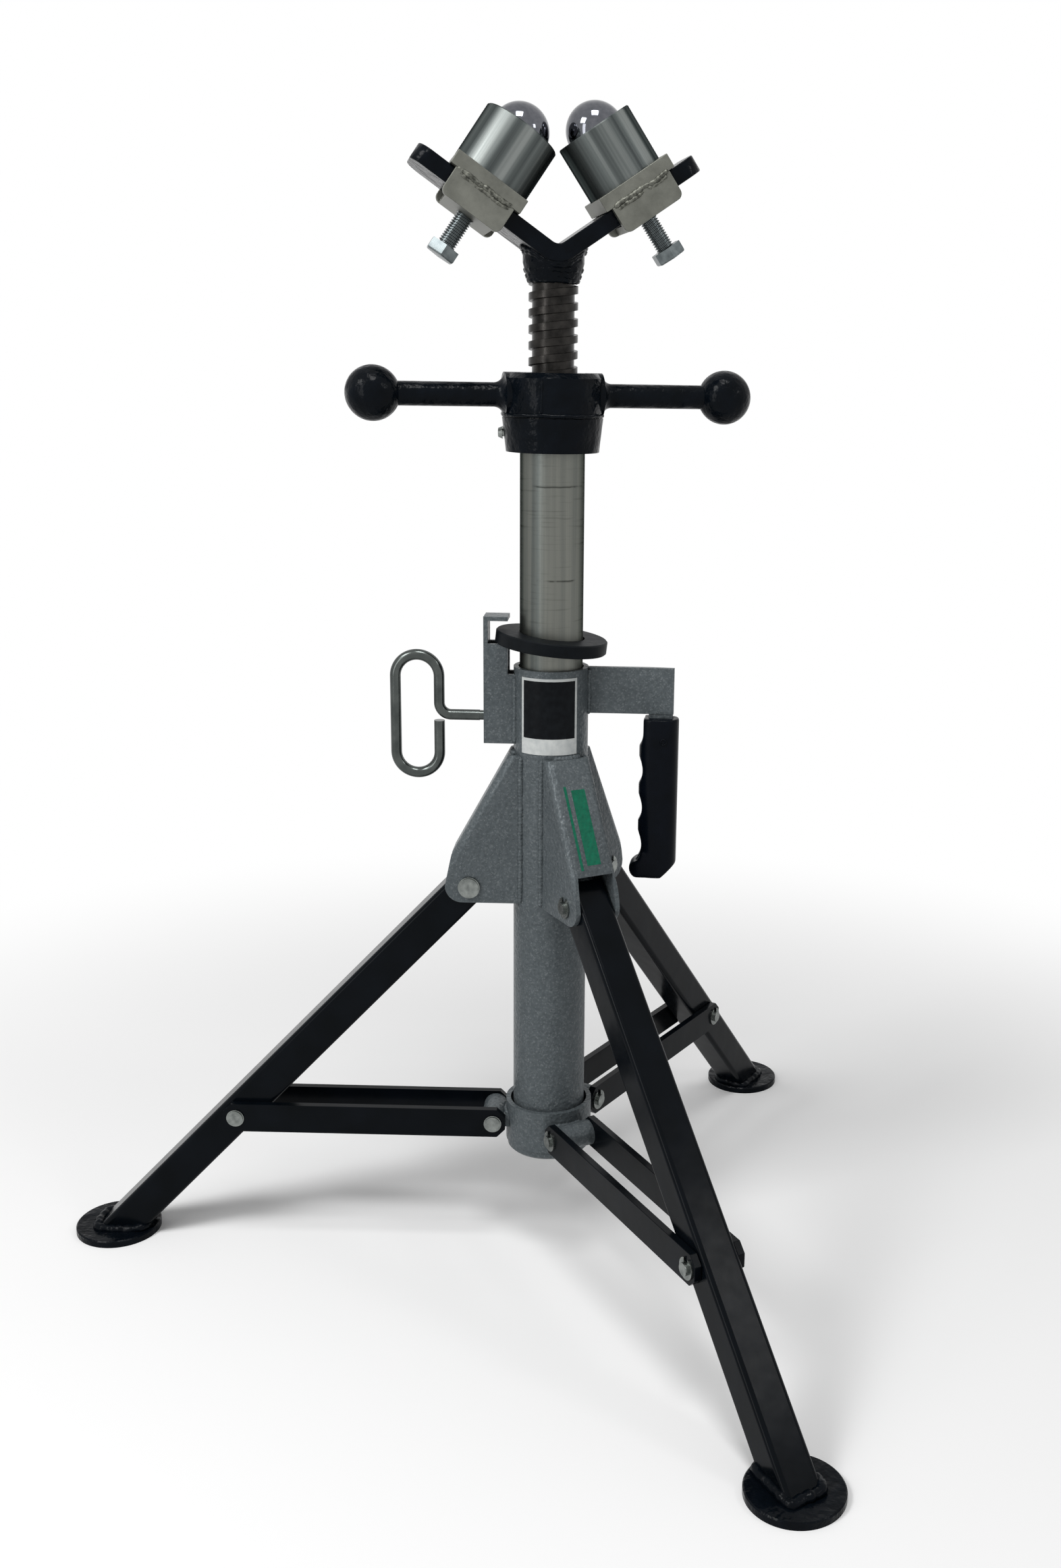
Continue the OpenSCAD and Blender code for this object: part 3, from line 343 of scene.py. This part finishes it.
# Clutch ring, hand nut, V head, legs and braces: castings, plate and square tube in black enamel.
# The castings, the V head and the feet were dipped, the legs and braces sprayed, and the ring is bare of gloss.
# Dipped enamel: thick, so it sags into waves of 13 mm that bend its reflections, with specks of 2 mm.
enamel, tree, place = new_finish("black_enamel")
waves = add(tree, "ShaderNodeTexNoise",
            {"Vector": place, "Scale": 75.0, "Detail": 3.0, "Roughness": 0.5})
specks = add(tree, "ShaderNodeTexNoise", {"Vector": place, "Scale": 600.0, "Detail": 2.0})
colour = add(tree, "ShaderNodeValToRGB", {"Fac": waves.outputs["Fac"]},
             ((0.3, "#04070b"), (0.75, "#080d13")))
gloss = add(tree, "ShaderNodeMapRange", {"Value": specks.outputs["Fac"], "To Min": 0.12, "To Max": 0.32})
relief = add(tree, "ShaderNodeBump", {"Height": waves.outputs["Fac"], "Strength": 0.7, "Distance": 0.003})
shader = add(tree, "ShaderNodeBsdfPrincipled",
             {"Base Color": colour.outputs["Color"], "Roughness": gloss.outputs["Result"],
              "Specular IOR Level": 0.06, "Normal": relief.outputs["Normal"]})
add(tree, "ShaderNodeOutputMaterial", {"Surface": shader.outputs["BSDF"]})
dress(enamel, "nut_hub", "nut_bars", "nut_knobs", "head_neck", "vee_bar",
      "foot_left", "foot_front", "foot_rear")
# Sprayed enamel: it lies level on straight tube and bar, with waves of 25 mm that hardly show,
# and it is rubbed duller in stretches of 11 mm.
level_enamel, tree, place = new_finish("level_black_enamel")
waves = add(tree, "ShaderNodeTexNoise",
            {"Vector": place, "Scale": 40.0, "Detail": 2.0, "Roughness": 0.4})
rub = add(tree, "ShaderNodeTexNoise", {"Vector": place, "Scale": 90.0, "Detail": 6.0})
colour = add(tree, "ShaderNodeValToRGB", {"Fac": waves.outputs["Fac"]},
             ((0.3, "#04070a"), (0.75, "#080c11")))
gloss = add(tree, "ShaderNodeMapRange", {"Value": rub.outputs["Fac"], "To Min": 0.12, "To Max": 0.26})
relief = add(tree, "ShaderNodeBump",
             {"Height": waves.outputs["Fac"], "Strength": 0.12, "Distance": 0.002})
shader = add(tree, "ShaderNodeBsdfPrincipled",
             {"Base Color": colour.outputs["Color"], "Roughness": gloss.outputs["Result"],
              "Specular IOR Level": 0.06, "Normal": relief.outputs["Normal"]})
add(tree, "ShaderNodeOutputMaterial", {"Surface": shader.outputs["BSDF"]})
dress(level_enamel, "leg_left", "leg_front", "leg_rear", *[n for n in nodes if n.startswith("braces_")])
soften(0.0009, "vee_bar", "braces_left", "braces_front", "braces_rear")
# Matt enamel: a thin coat that handling has dulled, uneven over some 6 mm, with no clear reflection.
worn_black, tree, place = new_finish("matt_black_enamel")
rub = add(tree, "ShaderNodeTexNoise", {"Vector": place, "Scale": 160.0, "Detail": 4.0})
colour = add(tree, "ShaderNodeValToRGB", {"Fac": rub.outputs["Fac"]},
             ((0.3, "#04070a"), (0.75, "#0a0e12")))
gloss = add(tree, "ShaderNodeMapRange", {"Value": rub.outputs["Fac"], "To Min": 0.42, "To Max": 0.62})
shader = add(tree, "ShaderNodeBsdfPrincipled",
             {"Base Color": colour.outputs["Color"], "Roughness": gloss.outputs["Result"],
              "Specular IOR Level": 0.08})
add(tree, "ShaderNodeOutputMaterial", {"Surface": shader.outputs["BSDF"]})
dress(worn_black, "clutch_ring")


# Hand nut casting: the two halves of the sand mould left a parting line round the hub, and the gates
# left two marks down its front. They were not ground off, and the enamel has rounded them.
hub_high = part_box("nut_hub")[1]
hub_r, parting_drop, parting_bead, left_gate_bead, right_gate_bead = 0.0388, 0.032, 0.0017, 0.0016, 0.0014
left_gate, right_gate_step = Vector((-0.0062, -0.0376, 0)), Vector((0.016, 0.0035, 0))
bm = bmesh.new()
bead(bm, [(x, y, hub_high.z - parting_drop) for x, y in round_path(hub_r, 60)], parting_bead,
     pitch=0.011, closed=True, rough=0.5)
bead(bm, [left_gate + Vector((0, 0, hub_high.z - drop)) for drop in (0.006, 0.016, 0.031)], left_gate_bead,
     pitch=0.008, rough=0.6)
bead(bm, [left_gate + right_gate_step + Vector((0, 0, hub_high.z - drop)) for drop in (0.009, 0.02, 0.03)],
     right_gate_bead, pitch=0.008, rough=0.6)
piece("nut_castings", bm, "hand_nut", enamel, 60)


# Mast: a drawn steel tube, bare and lightly oiled, that slides in the post.
# The clutch ring, which holds it there, has bitten two dark lines into it.
# Drawn tube: bright and dark bands 13 mm wide along it are painted reflections, and sliding wears fine rings
# into it, drawn 2 mm apart. The painted bands and the rings both make its reflections uneven.
drawn_steel, tree, place = new_finish("drawn_steel_tube")
long = add(tree, "ShaderNodeMapping",
           {"Vector": place, "Location": (0.004, 0.0, 0.0), "Scale": (1.0, 1.0, 0.012)})
# Noise stretched along the tube, for the painted reflection bands.
painted_reflection_bands = add(tree, "ShaderNodeTexNoise",
            {"Vector": long.outputs["Vector"], "Scale": 75.0, "Detail": 5.0, "Roughness": 0.6})
round_it = add(tree, "ShaderNodeMapping", {"Vector": place, "Scale": (0.05, 0.05, 1.0)})
rings = add(tree, "ShaderNodeTexNoise",
            {"Vector": round_it.outputs["Vector"], "Scale": 600.0, "Detail": 4.0})
patches = add(tree, "ShaderNodeTexNoise", {"Vector": place, "Scale": 45.0, "Detail": 4.0})
# The ramp paints the bands in: painted reflections, bright and dark, running along the tube.
metal_and_painted_reflections = add(tree, "ShaderNodeValToRGB", {"Fac": painted_reflection_bands.outputs["Fac"]},
            ((0.36, "#525654"), (0.64, "#74756f")))
worn = add(tree, "ShaderNodeValToRGB", {"Fac": rings.outputs["Fac"]},
           ((0.28, "#bdbdbb"), (0.42, "#ffffff")))
rubbed = add(tree, "ShaderNodeMix", {0: 0.5, 6: metal_and_painted_reflections.outputs["Color"], 7: worn.outputs["Color"]},
             data_type="RGBA", blend_type="MULTIPLY")
# The two bites are at about 585 and 658 mm above the floor, each wanders by up to 3 mm and is broken.
height = add(tree, "ShaderNodeSeparateXYZ", {"Vector": place})
wander = add(tree, "ShaderNodeMath",
             {0: patches.outputs["Fac"], 1: 0.003, 2: height.outputs["Z"]}, operation="MULTIPLY_ADD")
along = add(tree, "ShaderNodeMapRange",
            {"Value": wander.outputs["Value"], "From Min": 0.5, "From Max": 0.7})
scores = add(tree, "ShaderNodeValToRGB", {"Fac": along.outputs["Result"]},
             ((0.421, "#ffffff"), (0.425, "#2c2d2b"), (0.429, "#ffffff"),
              (0.786, "#ffffff"), (0.790, "#2c2d2b"), (0.794, "#ffffff")))
broken = add(tree, "ShaderNodeMapRange",
             {"Value": patches.outputs["Fac"], "From Min": 0.42, "From Max": 0.52})
colour = add(tree, "ShaderNodeMix",
             {0: broken.outputs["Result"], 6: rubbed.outputs[2], 7: scores.outputs["Color"]},
             data_type="RGBA", blend_type="MULTIPLY")
gloss = add(tree, "ShaderNodeMapRange", {"Value": rings.outputs["Fac"], "To Min": 0.3, "To Max": 0.46})
shader = add(tree, "ShaderNodeBsdfPrincipled",
             {"Base Color": colour.outputs[2], "Metallic": 1.0, "Roughness": gloss.outputs["Result"],
              "Specular Tint": linear("#5c6265")})
add(tree, "ShaderNodeOutputMaterial", {"Surface": shader.outputs["BSDF"]})
dress(drawn_steel, "mast_tube")


# Jack screw: square thread of 12 mm pitch, right-hand, cut in 38 mm bar and left oiled and dark.
# The solid is plain, so this piece stands for it: a profile spun along the helix, then cut off flat.
def threaded_rod(bm, crest, root, pitch, flat, low, high, per_turn):
    """A right-hand thread about Z from low to high, closed at both ends."""
    flank = (pitch - 2 * flat) / 2
    profile = [(root, 0), (root, flat), (crest, flat + flank), (crest, 2 * flat + flank), (root, pitch)]
    turns = int((high - low) / pitch) + 3
    points = [bm.verts.new((r, 0, low - 2 * pitch + z)) for r, z in profile]
    edges = [bm.edges.new(pair) for pair in zip(points, points[1:])]
    bmesh.ops.spin(bm, geom=points + edges, cent=(0, 0, 0), axis=(0, 0, 1), dvec=(0, 0, pitch / per_turn),
                   angle=turns * math.tau, steps=turns * per_turn, use_merge=False)
    bmesh.ops.remove_doubles(bm, verts=bm.verts, dist=1e-6)
    for at, side in ((low, -1), (high, 1)):
        cut = bmesh.ops.bisect_plane(bm, geom=bm.verts[:] + bm.edges[:] + bm.faces[:], plane_co=(0, 0, at),
                                     plane_no=(0, 0, side), clear_outer=True)
        rim = [e for e in cut["geom_cut"] if isinstance(e, bmesh.types.BMEdge)]
        bmesh.ops.edgeloop_fill(bm, edges=rim)


# Oiled steel: brown-black where the oil has smeared, over some 8 mm, with a film that shines unevenly.
oiled_steel, tree, place = new_finish("oiled_dark_steel")
smear = add(tree, "ShaderNodeTexNoise", {"Vector": place, "Scale": 120.0, "Detail": 4.0})
film = add(tree, "ShaderNodeTexNoise", {"Vector": place, "Scale": 500.0, "Detail": 2.0})
colour = add(tree, "ShaderNodeValToRGB", {"Fac": smear.outputs["Fac"]},
             ((0.3, "#191817"), (0.7, "#32302e")))
gloss = add(tree, "ShaderNodeMapRange", {"Value": film.outputs["Fac"], "To Min": 0.2, "To Max": 0.4})
shader = add(tree, "ShaderNodeBsdfPrincipled",
             {"Base Color": colour.outputs["Color"], "Metallic": 0.9, "Roughness": gloss.outputs["Result"]})
add(tree, "ShaderNodeOutputMaterial", {"Surface": shader.outputs["BSDF"]})
screw_low, screw_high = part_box("jack_screw")
screw_crest, screw_root, screw_pitch, screw_flat = 0.019, 0.0163, 0.012, 0.0055
bm = bmesh.new()
threaded_rod(bm, screw_crest, screw_root, screw_pitch, screw_flat, screw_low.z, screw_high.z, 64)
jack_thread = piece("jack_thread", bm, "head", oiled_steel, 35)
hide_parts("jack_screw")


# Head welds: the screw is built up to the V bar with several runs of weld, one over the other.
# Three go round the neck and two follow the underside of the V, and the enamel covers them.
head_turn, vee_z, vee_angle, vee_t = math.radians(12), 0.83433, math.radians(34.2), 0.013
neck_z, bend_z, bend_out = 0.809, 0.844, 0.021
on_head = Matrix.Rotation(head_turn, 4, "Z")
bm = bmesh.new()
for ring_r, rise, size in ((0.0182, 0.0012, 0.0025), (0.0188, 0.0048, 0.0028), (0.0198, 0.0092, 0.0031)):
    bead(bm, [on_head @ Vector((x, y, neck_z + rise)) for x, y in round_path(ring_r, 40)], size,
         pitch=0.006, closed=True, rough=0.3)
for reach_x, reach_y, drop, size in ((0.0222, 0.0216, 0.0018, 0.0032), (0.0240, 0.0230, 0.0004, 0.0024)):
    path = []
    for a, b in round_path(1, 48):
        x, y = reach_x * a, reach_y * b
        under = vee_z + abs(x) * math.tan(vee_angle) - vee_t / math.cos(vee_angle)
        if abs(x) < bend_out * math.sin(vee_angle):
            under = bend_z - math.sqrt(bend_out ** 2 - x ** 2)
        path.append(on_head @ Vector((x, y, under - drop)))
    bead(bm, path, size, pitch=0.006, closed=True, rough=0.3)
piece("head_welds", bm, "head", enamel, 50)


# Saddles: a top plate welded on cut side plates and then zinc plated, which slides along the arm.
# The weld under the top plate was left as laid, and the plating follows it.
# Zinc plate: a soft grey shine in blotches of 17 mm, over a mill surface that is drawn at 2.4 mm.
zinc, tree, place = new_finish("zinc_plate")
blotch = add(tree, "ShaderNodeTexNoise",
             {"Vector": place, "Scale": 60.0, "Detail": 6.0, "Roughness": 0.65})
mill = add(tree, "ShaderNodeTexNoise", {"Vector": place, "Scale": 420.0, "Detail": 3.0})
colour = add(tree, "ShaderNodeValToRGB", {"Fac": blotch.outputs["Fac"]},
             ((0.3, "#5d5e58"), (0.7, "#73746d")))
gloss = add(tree, "ShaderNodeMapRange", {"Value": blotch.outputs["Fac"], "To Min": 0.36, "To Max": 0.56})
relief = add(tree, "ShaderNodeBump",
             {"Height": mill.outputs["Fac"], "Strength": 0.25, "Distance": 0.0004})
shader = add(tree, "ShaderNodeBsdfPrincipled",
             {"Base Color": colour.outputs["Color"], "Metallic": 0.85, "Roughness": gloss.outputs["Result"],
              "Normal": relief.outputs["Normal"]})
add(tree, "ShaderNodeOutputMaterial", {"Surface": shader.outputs["BSDF"]})
# Zinc over weld: the same plating on scale, so it is speckled dark and light at 2.4 mm and dull.
dull_zinc, tree, place = new_finish("zinc_over_weld")
scale = add(tree, "ShaderNodeTexNoise", {"Vector": place, "Scale": 420.0, "Detail": 4.0})
colour = add(tree, "ShaderNodeValToRGB", {"Fac": scale.outputs["Fac"]},
             ((0.35, "#3b3c37"), (0.68, "#75766e")))
gloss = add(tree, "ShaderNodeMapRange", {"Value": scale.outputs["Fac"], "To Min": 0.3, "To Max": 0.6})
shader = add(tree, "ShaderNodeBsdfPrincipled",
             {"Base Color": colour.outputs["Color"], "Metallic": 0.85, "Roughness": gloss.outputs["Result"]})
add(tree, "ShaderNodeOutputMaterial", {"Surface": shader.outputs["BSDF"]})
saddle_along = {"right": 0.07295, "left": 0.06695}
on_saddle = {side: Matrix.Rotation(head_turn + back, 4, "Z") @ Matrix.Translation((0, 0, vee_z))
             @ Matrix.Rotation(-vee_angle, 4, "Y") @ Matrix.Translation((saddle_along[side], 0, 0))
             for side, back in (("right", 0), ("left", math.pi))}
cheek_out, cheek_half, weld_in = 0.0325, 0.0255, 0.0009
for side, here in on_saddle.items():
    dress(zinc, f"saddle_{side}", f"saddle_plate_{side}")
    soften(0.0006, f"saddle_{side}", f"saddle_plate_{side}")
    bm = bmesh.new()
    for y in (-cheek_out - 0.0001, cheek_out + 0.0001):
        inner = y - math.copysign(weld_in, y)
        for z, short, size, rough in ((0.0004, 0.001, 0.0024, 0.5), (-0.0024, 0.003, 0.0018, 0.6)):
            bead(bm, [here @ Vector((x, inner, z)) for x in (-cheek_half + short, cheek_half - short)], size,
                 pitch=0.005, rough=rough)
    piece(f"saddle_welds_{side}", bm, f"saddle_{side}", dull_zinc, 50)


# Clamp bolts: hexagon bolts of 14 mm, threaded to the head and screwed into the saddles from below.
# They stand for the plain solids.
# Blue passivated zinc: cooler and brighter than the plating of the saddles, blotched over 5 to 6 mm.
blue_zinc, tree, place = new_finish("blue_passivated_zinc")
blotch = add(tree, "ShaderNodeTexNoise", {"Vector": place, "Scale": 180.0, "Detail": 4.0})
colour = add(tree, "ShaderNodeValToRGB", {"Fac": blotch.outputs["Fac"]},
             ((0.3, "#565c5e"), (0.7, "#737a7b")))
gloss = add(tree, "ShaderNodeMapRange", {"Value": blotch.outputs["Fac"], "To Min": 0.24, "To Max": 0.42})
shader = add(tree, "ShaderNodeBsdfPrincipled",
             {"Base Color": colour.outputs["Color"], "Metallic": 1.0, "Roughness": gloss.outputs["Result"]})
add(tree, "ShaderNodeOutputMaterial", {"Surface": shader.outputs["BSDF"]})
bolt_crest, bolt_root, bolt_pitch, bolt_flat = 0.007, 0.0058, 0.002, 0.0004
bolt_tip, bolt_under, bolt_head, across_flats = -0.01315, -0.047, 0.009, 0.022
head_middle, corner_r = bolt_under - bolt_head / 2, across_flats / math.sqrt(3)
for side, here in on_saddle.items():
    bm = bmesh.new()
    threaded_rod(bm, bolt_crest, bolt_root, bolt_pitch, bolt_flat, bolt_under - 0.001, bolt_tip, 32)
    hexagon = bmesh.ops.create_cone(bm, cap_ends=True, segments=6, radius1=corner_r, radius2=corner_r,
                                    depth=bolt_head, matrix=Matrix.Translation((0, 0, head_middle)))["verts"]
    outer = dict.fromkeys(e for v in hexagon for e in v.link_edges
                          if all(p.co.z < head_middle for p in e.verts))
    bmesh.ops.bevel(bm, geom=list(outer), offset=0.0016, affect="EDGES", segments=3, profile=0.5, material=-1)
    bmesh.ops.transform(bm, matrix=here, verts=bm.verts)
    made = piece(f"threaded_bolt_{side}", bm, f"bolt_{side}", blue_zinc, 30)
    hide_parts(f"clamp_bolt_{side}")


# Housings and keeper rings: turned from bar, polished along their length and fixed on the top plates.
# Turned steel: bright and dark streaks about 10 mm wide that run the way of the axis are painted reflections,
# with fine scratches between them that are drawn at 1 mm. Each finish is turned to its own arm.
for side, here in on_saddle.items():
    turned_steel, tree, place = new_finish(f"turned_steel_{side}")
    spin = here.to_3x3().inverted().to_euler()
    axis = add(tree, "ShaderNodeMapping",
               {"Vector": place, "Rotation": spin, "Location": (0.02, 0.011, 0.0)})
    long = add(tree, "ShaderNodeMapping", {"Vector": axis.outputs["Vector"], "Scale": (1.0, 1.0, 0.015)})
    painted_reflection_streaks = add(tree, "ShaderNodeTexNoise",
                  {"Vector": long.outputs["Vector"], "Scale": 95.0, "Detail": 5.0})
    fine = add(tree, "ShaderNodeTexNoise",
               {"Vector": long.outputs["Vector"], "Scale": 900.0, "Detail": 2.0})
    # The ramp paints the streaks in: painted reflections, bright and dark, along the axis.
    colour = add(tree, "ShaderNodeValToRGB", {"Fac": painted_reflection_streaks.outputs["Fac"]},
                 ((0.34, "#393d3d"), (0.66, "#7f8381"), (0.5, "#5a5f5e")))
    gloss = add(tree, "ShaderNodeMapRange", {"Value": fine.outputs["Fac"], "To Min": 0.34, "To Max": 0.54})
    shader = add(tree, "ShaderNodeBsdfPrincipled",
                 {"Base Color": colour.outputs["Color"], "Metallic": 1.0,
                  "Roughness": gloss.outputs["Result"], "Specular Tint": linear("#5c6265")})
    add(tree, "ShaderNodeOutputMaterial", {"Surface": shader.outputs["BSDF"]})
    dress(turned_steel, f"ball_cup_{side}", f"ball_keeper_{side}")


# Main balls and support balls: hardened bearing balls, ground true and held by the keeper rings.
# Bearing steel: polished to a mirror, with a faint haze of oil in patches of about 3 mm.
mirror_steel, tree, place = new_finish("polished_bearing_steel")
haze = add(tree, "ShaderNodeTexNoise", {"Vector": place, "Scale": 300.0, "Detail": 3.0})
gloss = add(tree, "ShaderNodeMapRange", {"Value": haze.outputs["Fac"], "To Min": 0.03, "To Max": 0.1})
colour = add(tree, "ShaderNodeValToRGB", {"Fac": haze.outputs["Fac"]},
             ((0.3, "#5b5d62"), (0.7, "#696a6f")))
shader = add(tree, "ShaderNodeBsdfPrincipled",
             {"Base Color": colour.outputs["Color"], "Metallic": 1.0, "Roughness": gloss.outputs["Result"]})
add(tree, "ShaderNodeOutputMaterial", {"Surface": shader.outputs["BSDF"]})
dress(mirror_steel, "ball_right", "ball_left", "support_balls_right", "support_balls_left")


# Collar: a ring of thick pipe that slides on the post, with three lugs welded on above and below,
# painted with the post.
collar_r, lug_z, lug_foot, lug_weld = 0.0365, 0.11765, 0.0055, 0.0021
bm = bmesh.new()
for turn in leg_turns.values():
    for z in (lug_z - lug_foot, lug_z + lug_foot):
        lug_edge = [(collar_r * math.cos(a / 20), collar_r * math.sin(a / 20), z) for a in range(-7, 8)]
        bead(bm, [turn @ Vector(p) for p in lug_edge], lug_weld)
piece("collar_welds", bm, "collar", hammer_paint, 50)


# Feet: round plates welded on the mitred ends of the legs, with a heavy bead all round the square tube.
# The enamel runs over it.
foot_r, foot_top, leg_half, leg_lean = 0.37299, 0.006, 0.015, math.radians(43.6)
half_x, half_y, corner, foot_bead = leg_half / math.cos(leg_lean), leg_half, 0.004, 0.0046
for name, turn in leg_turns.items():
    path = []
    for sx, sy, start in ((1, 1, 0), (-1, 1, 90), (-1, -1, 180), (1, -1, 270)):
        for a in (0, 30, 60, 90):
            way = math.radians(start + a)
            path.append(turn @ Vector((foot_r + sx * (half_x - corner) + corner * math.cos(way),
                                       sy * (half_y - corner) + corner * math.sin(way), foot_top + 0.001)))
    bm = bmesh.new()
    bead(bm, path, foot_bead, pitch=0.008, closed=True, rough=0.4)
    piece(f"foot_weld_{name}", bm, f"leg_{name}", enamel, 50)


# Studio: a plain pale floor that runs out into a white sky, and soft lamps.
# Beyond the shadow the floor turns to the white of the sky, so that no horizon shows.
def plain_sight(tree):
    """1 for what is seen, in a mirror or through glass too, and 0 for light that falls on other things."""
    seen = add(tree, "ShaderNodeLightPath")
    mirrored = add(tree, "ShaderNodeMath",
                   {0: seen.outputs["Is Camera Ray"], 1: seen.outputs["Is Glossy Ray"]},
                   operation="ADD", use_clamp=True)
    direct = add(tree, "ShaderNodeMath",
                 {0: mirrored.outputs["Value"], 1: seen.outputs["Is Transmission Ray"]},
                 operation="ADD", use_clamp=True)
    return direct.outputs["Value"]


# Floor paint: flat and pale, so that only the soft shadow shows on it, out to 0.45 m from the post.
floor_paint, tree, place = new_finish("pale_floor")
matt = add(tree, "ShaderNodeBsdfDiffuse", {"Color": linear("#fafafa")})
glow = add(tree, "ShaderNodeEmission", {"Color": (1, 1, 1, 1), "Strength": 1.0})
reach = add(tree, "ShaderNodeVectorMath", {0: place}, operation="LENGTH")
far = add(tree, "ShaderNodeMapRange",
          {"Value": reach.outputs["Value"], "From Min": 0.45, "From Max": 1.2},
          interpolation_type="SMOOTHSTEP")
share = add(tree, "ShaderNodeMath", {0: plain_sight(tree), 1: far.outputs["Result"]}, operation="MULTIPLY")
both = add(tree, "ShaderNodeMixShader",
           {0: share.outputs["Value"], 1: matt.outputs["BSDF"], 2: glow.outputs["Emission"]})
add(tree, "ShaderNodeOutputMaterial", {"Surface": both.outputs["Shader"]})
bm = bmesh.new()
bmesh.ops.create_circle(bm, cap_ends=True, segments=96, radius=14)
mesh = bpy.data.meshes.new("floor")
bm.to_mesh(mesh)
bm.free()
mesh.materials.append(floor_paint)
floor = bpy.data.objects.new("floor", mesh)
bpy.context.scene.collection.objects.link(floor)

# Sky: white where it is seen, and a third as strong where it only lights the stand.
world = bpy.data.worlds.new("studio")
bpy.context.scene.world = world
world.use_nodes = True
tree = world.node_tree
tree.nodes.clear()
level = add(tree, "ShaderNodeMapRange", {"Value": plain_sight(tree), "To Min": 0.35, "To Max": 1.0})
sky = add(tree, "ShaderNodeBackground", {"Color": (1, 1, 1, 1), "Strength": level.outputs["Result"]})
add(tree, "ShaderNodeOutputWorld", {"Surface": sky.outputs["Background"]})

# Lamps: name, place, width, height and watts. All face the middle of the stand.
lamps = (("key", (-1.6, -1.3, 2.2), 0.8, 0.8, 29),
         ("strip", (-1.35, -1.5, 0.9), 0.4, 1.4, 8),
         ("ceiling", (0.0, -0.9, 2.9), 0.8, 0.8, 28),
         ("fill", (1.67, -0.83, 1.56), 0.32, 0.4, 3))
for name, at, wide, tall, watts in lamps:
    lamp = bpy.data.lights.new(name, "AREA")
    lamp.shape, lamp.size, lamp.size_y, lamp.energy = "RECTANGLE", wide, tall, watts
    made = bpy.data.objects.new(name, lamp)
    aim = (Vector((0, 0, 0.5)) - Vector(at)).to_track_quat("-Z", "Y").to_matrix().to_4x4()
    made.matrix_world = Matrix.Translation(at) @ aim
    bpy.context.scene.collection.objects.link(made)

# Camera: where the photograph was taken from. Its focal length and middle are in pixels of the picture,
# whose longer side is its height.
picture_wide, picture_tall = 1572, 2324
focal, middle_x, middle_y = 2377.67, 945.93, 1124.82
view = bpy.data.cameras.new("camera")
view.sensor_width = 36
view.lens = focal * 36 / picture_tall
view.shift_x = -(middle_x - picture_wide / 2) / picture_tall
view.shift_y = (middle_y - picture_tall / 2) / picture_tall
pitch, roll, yaw = math.radians(13.92), math.radians(-1.12), math.radians(0.13)
turn = Matrix.Rotation(yaw, 3, "Z")
right = turn @ Vector((1, 0, 0))
ahead = turn @ Vector((0, math.cos(pitch), -math.sin(pitch)))
up = turn @ Vector((0, math.sin(pitch), math.cos(pitch)))
across = right * math.cos(roll) - up * math.sin(roll)
over = right * math.sin(roll) + up * math.cos(roll)
camera = bpy.data.objects.new("camera", view)
camera.matrix_world = (Matrix.Translation((0.0748, -1.2756, 0.75189))
                       @ Matrix((across, over, -ahead)).transposed().to_4x4())
bpy.context.scene.collection.objects.link(camera)
bpy.context.scene.camera = camera
bpy.context.scene.view_settings.view_transform = "Standard"

bpy.context.view_layer.update()
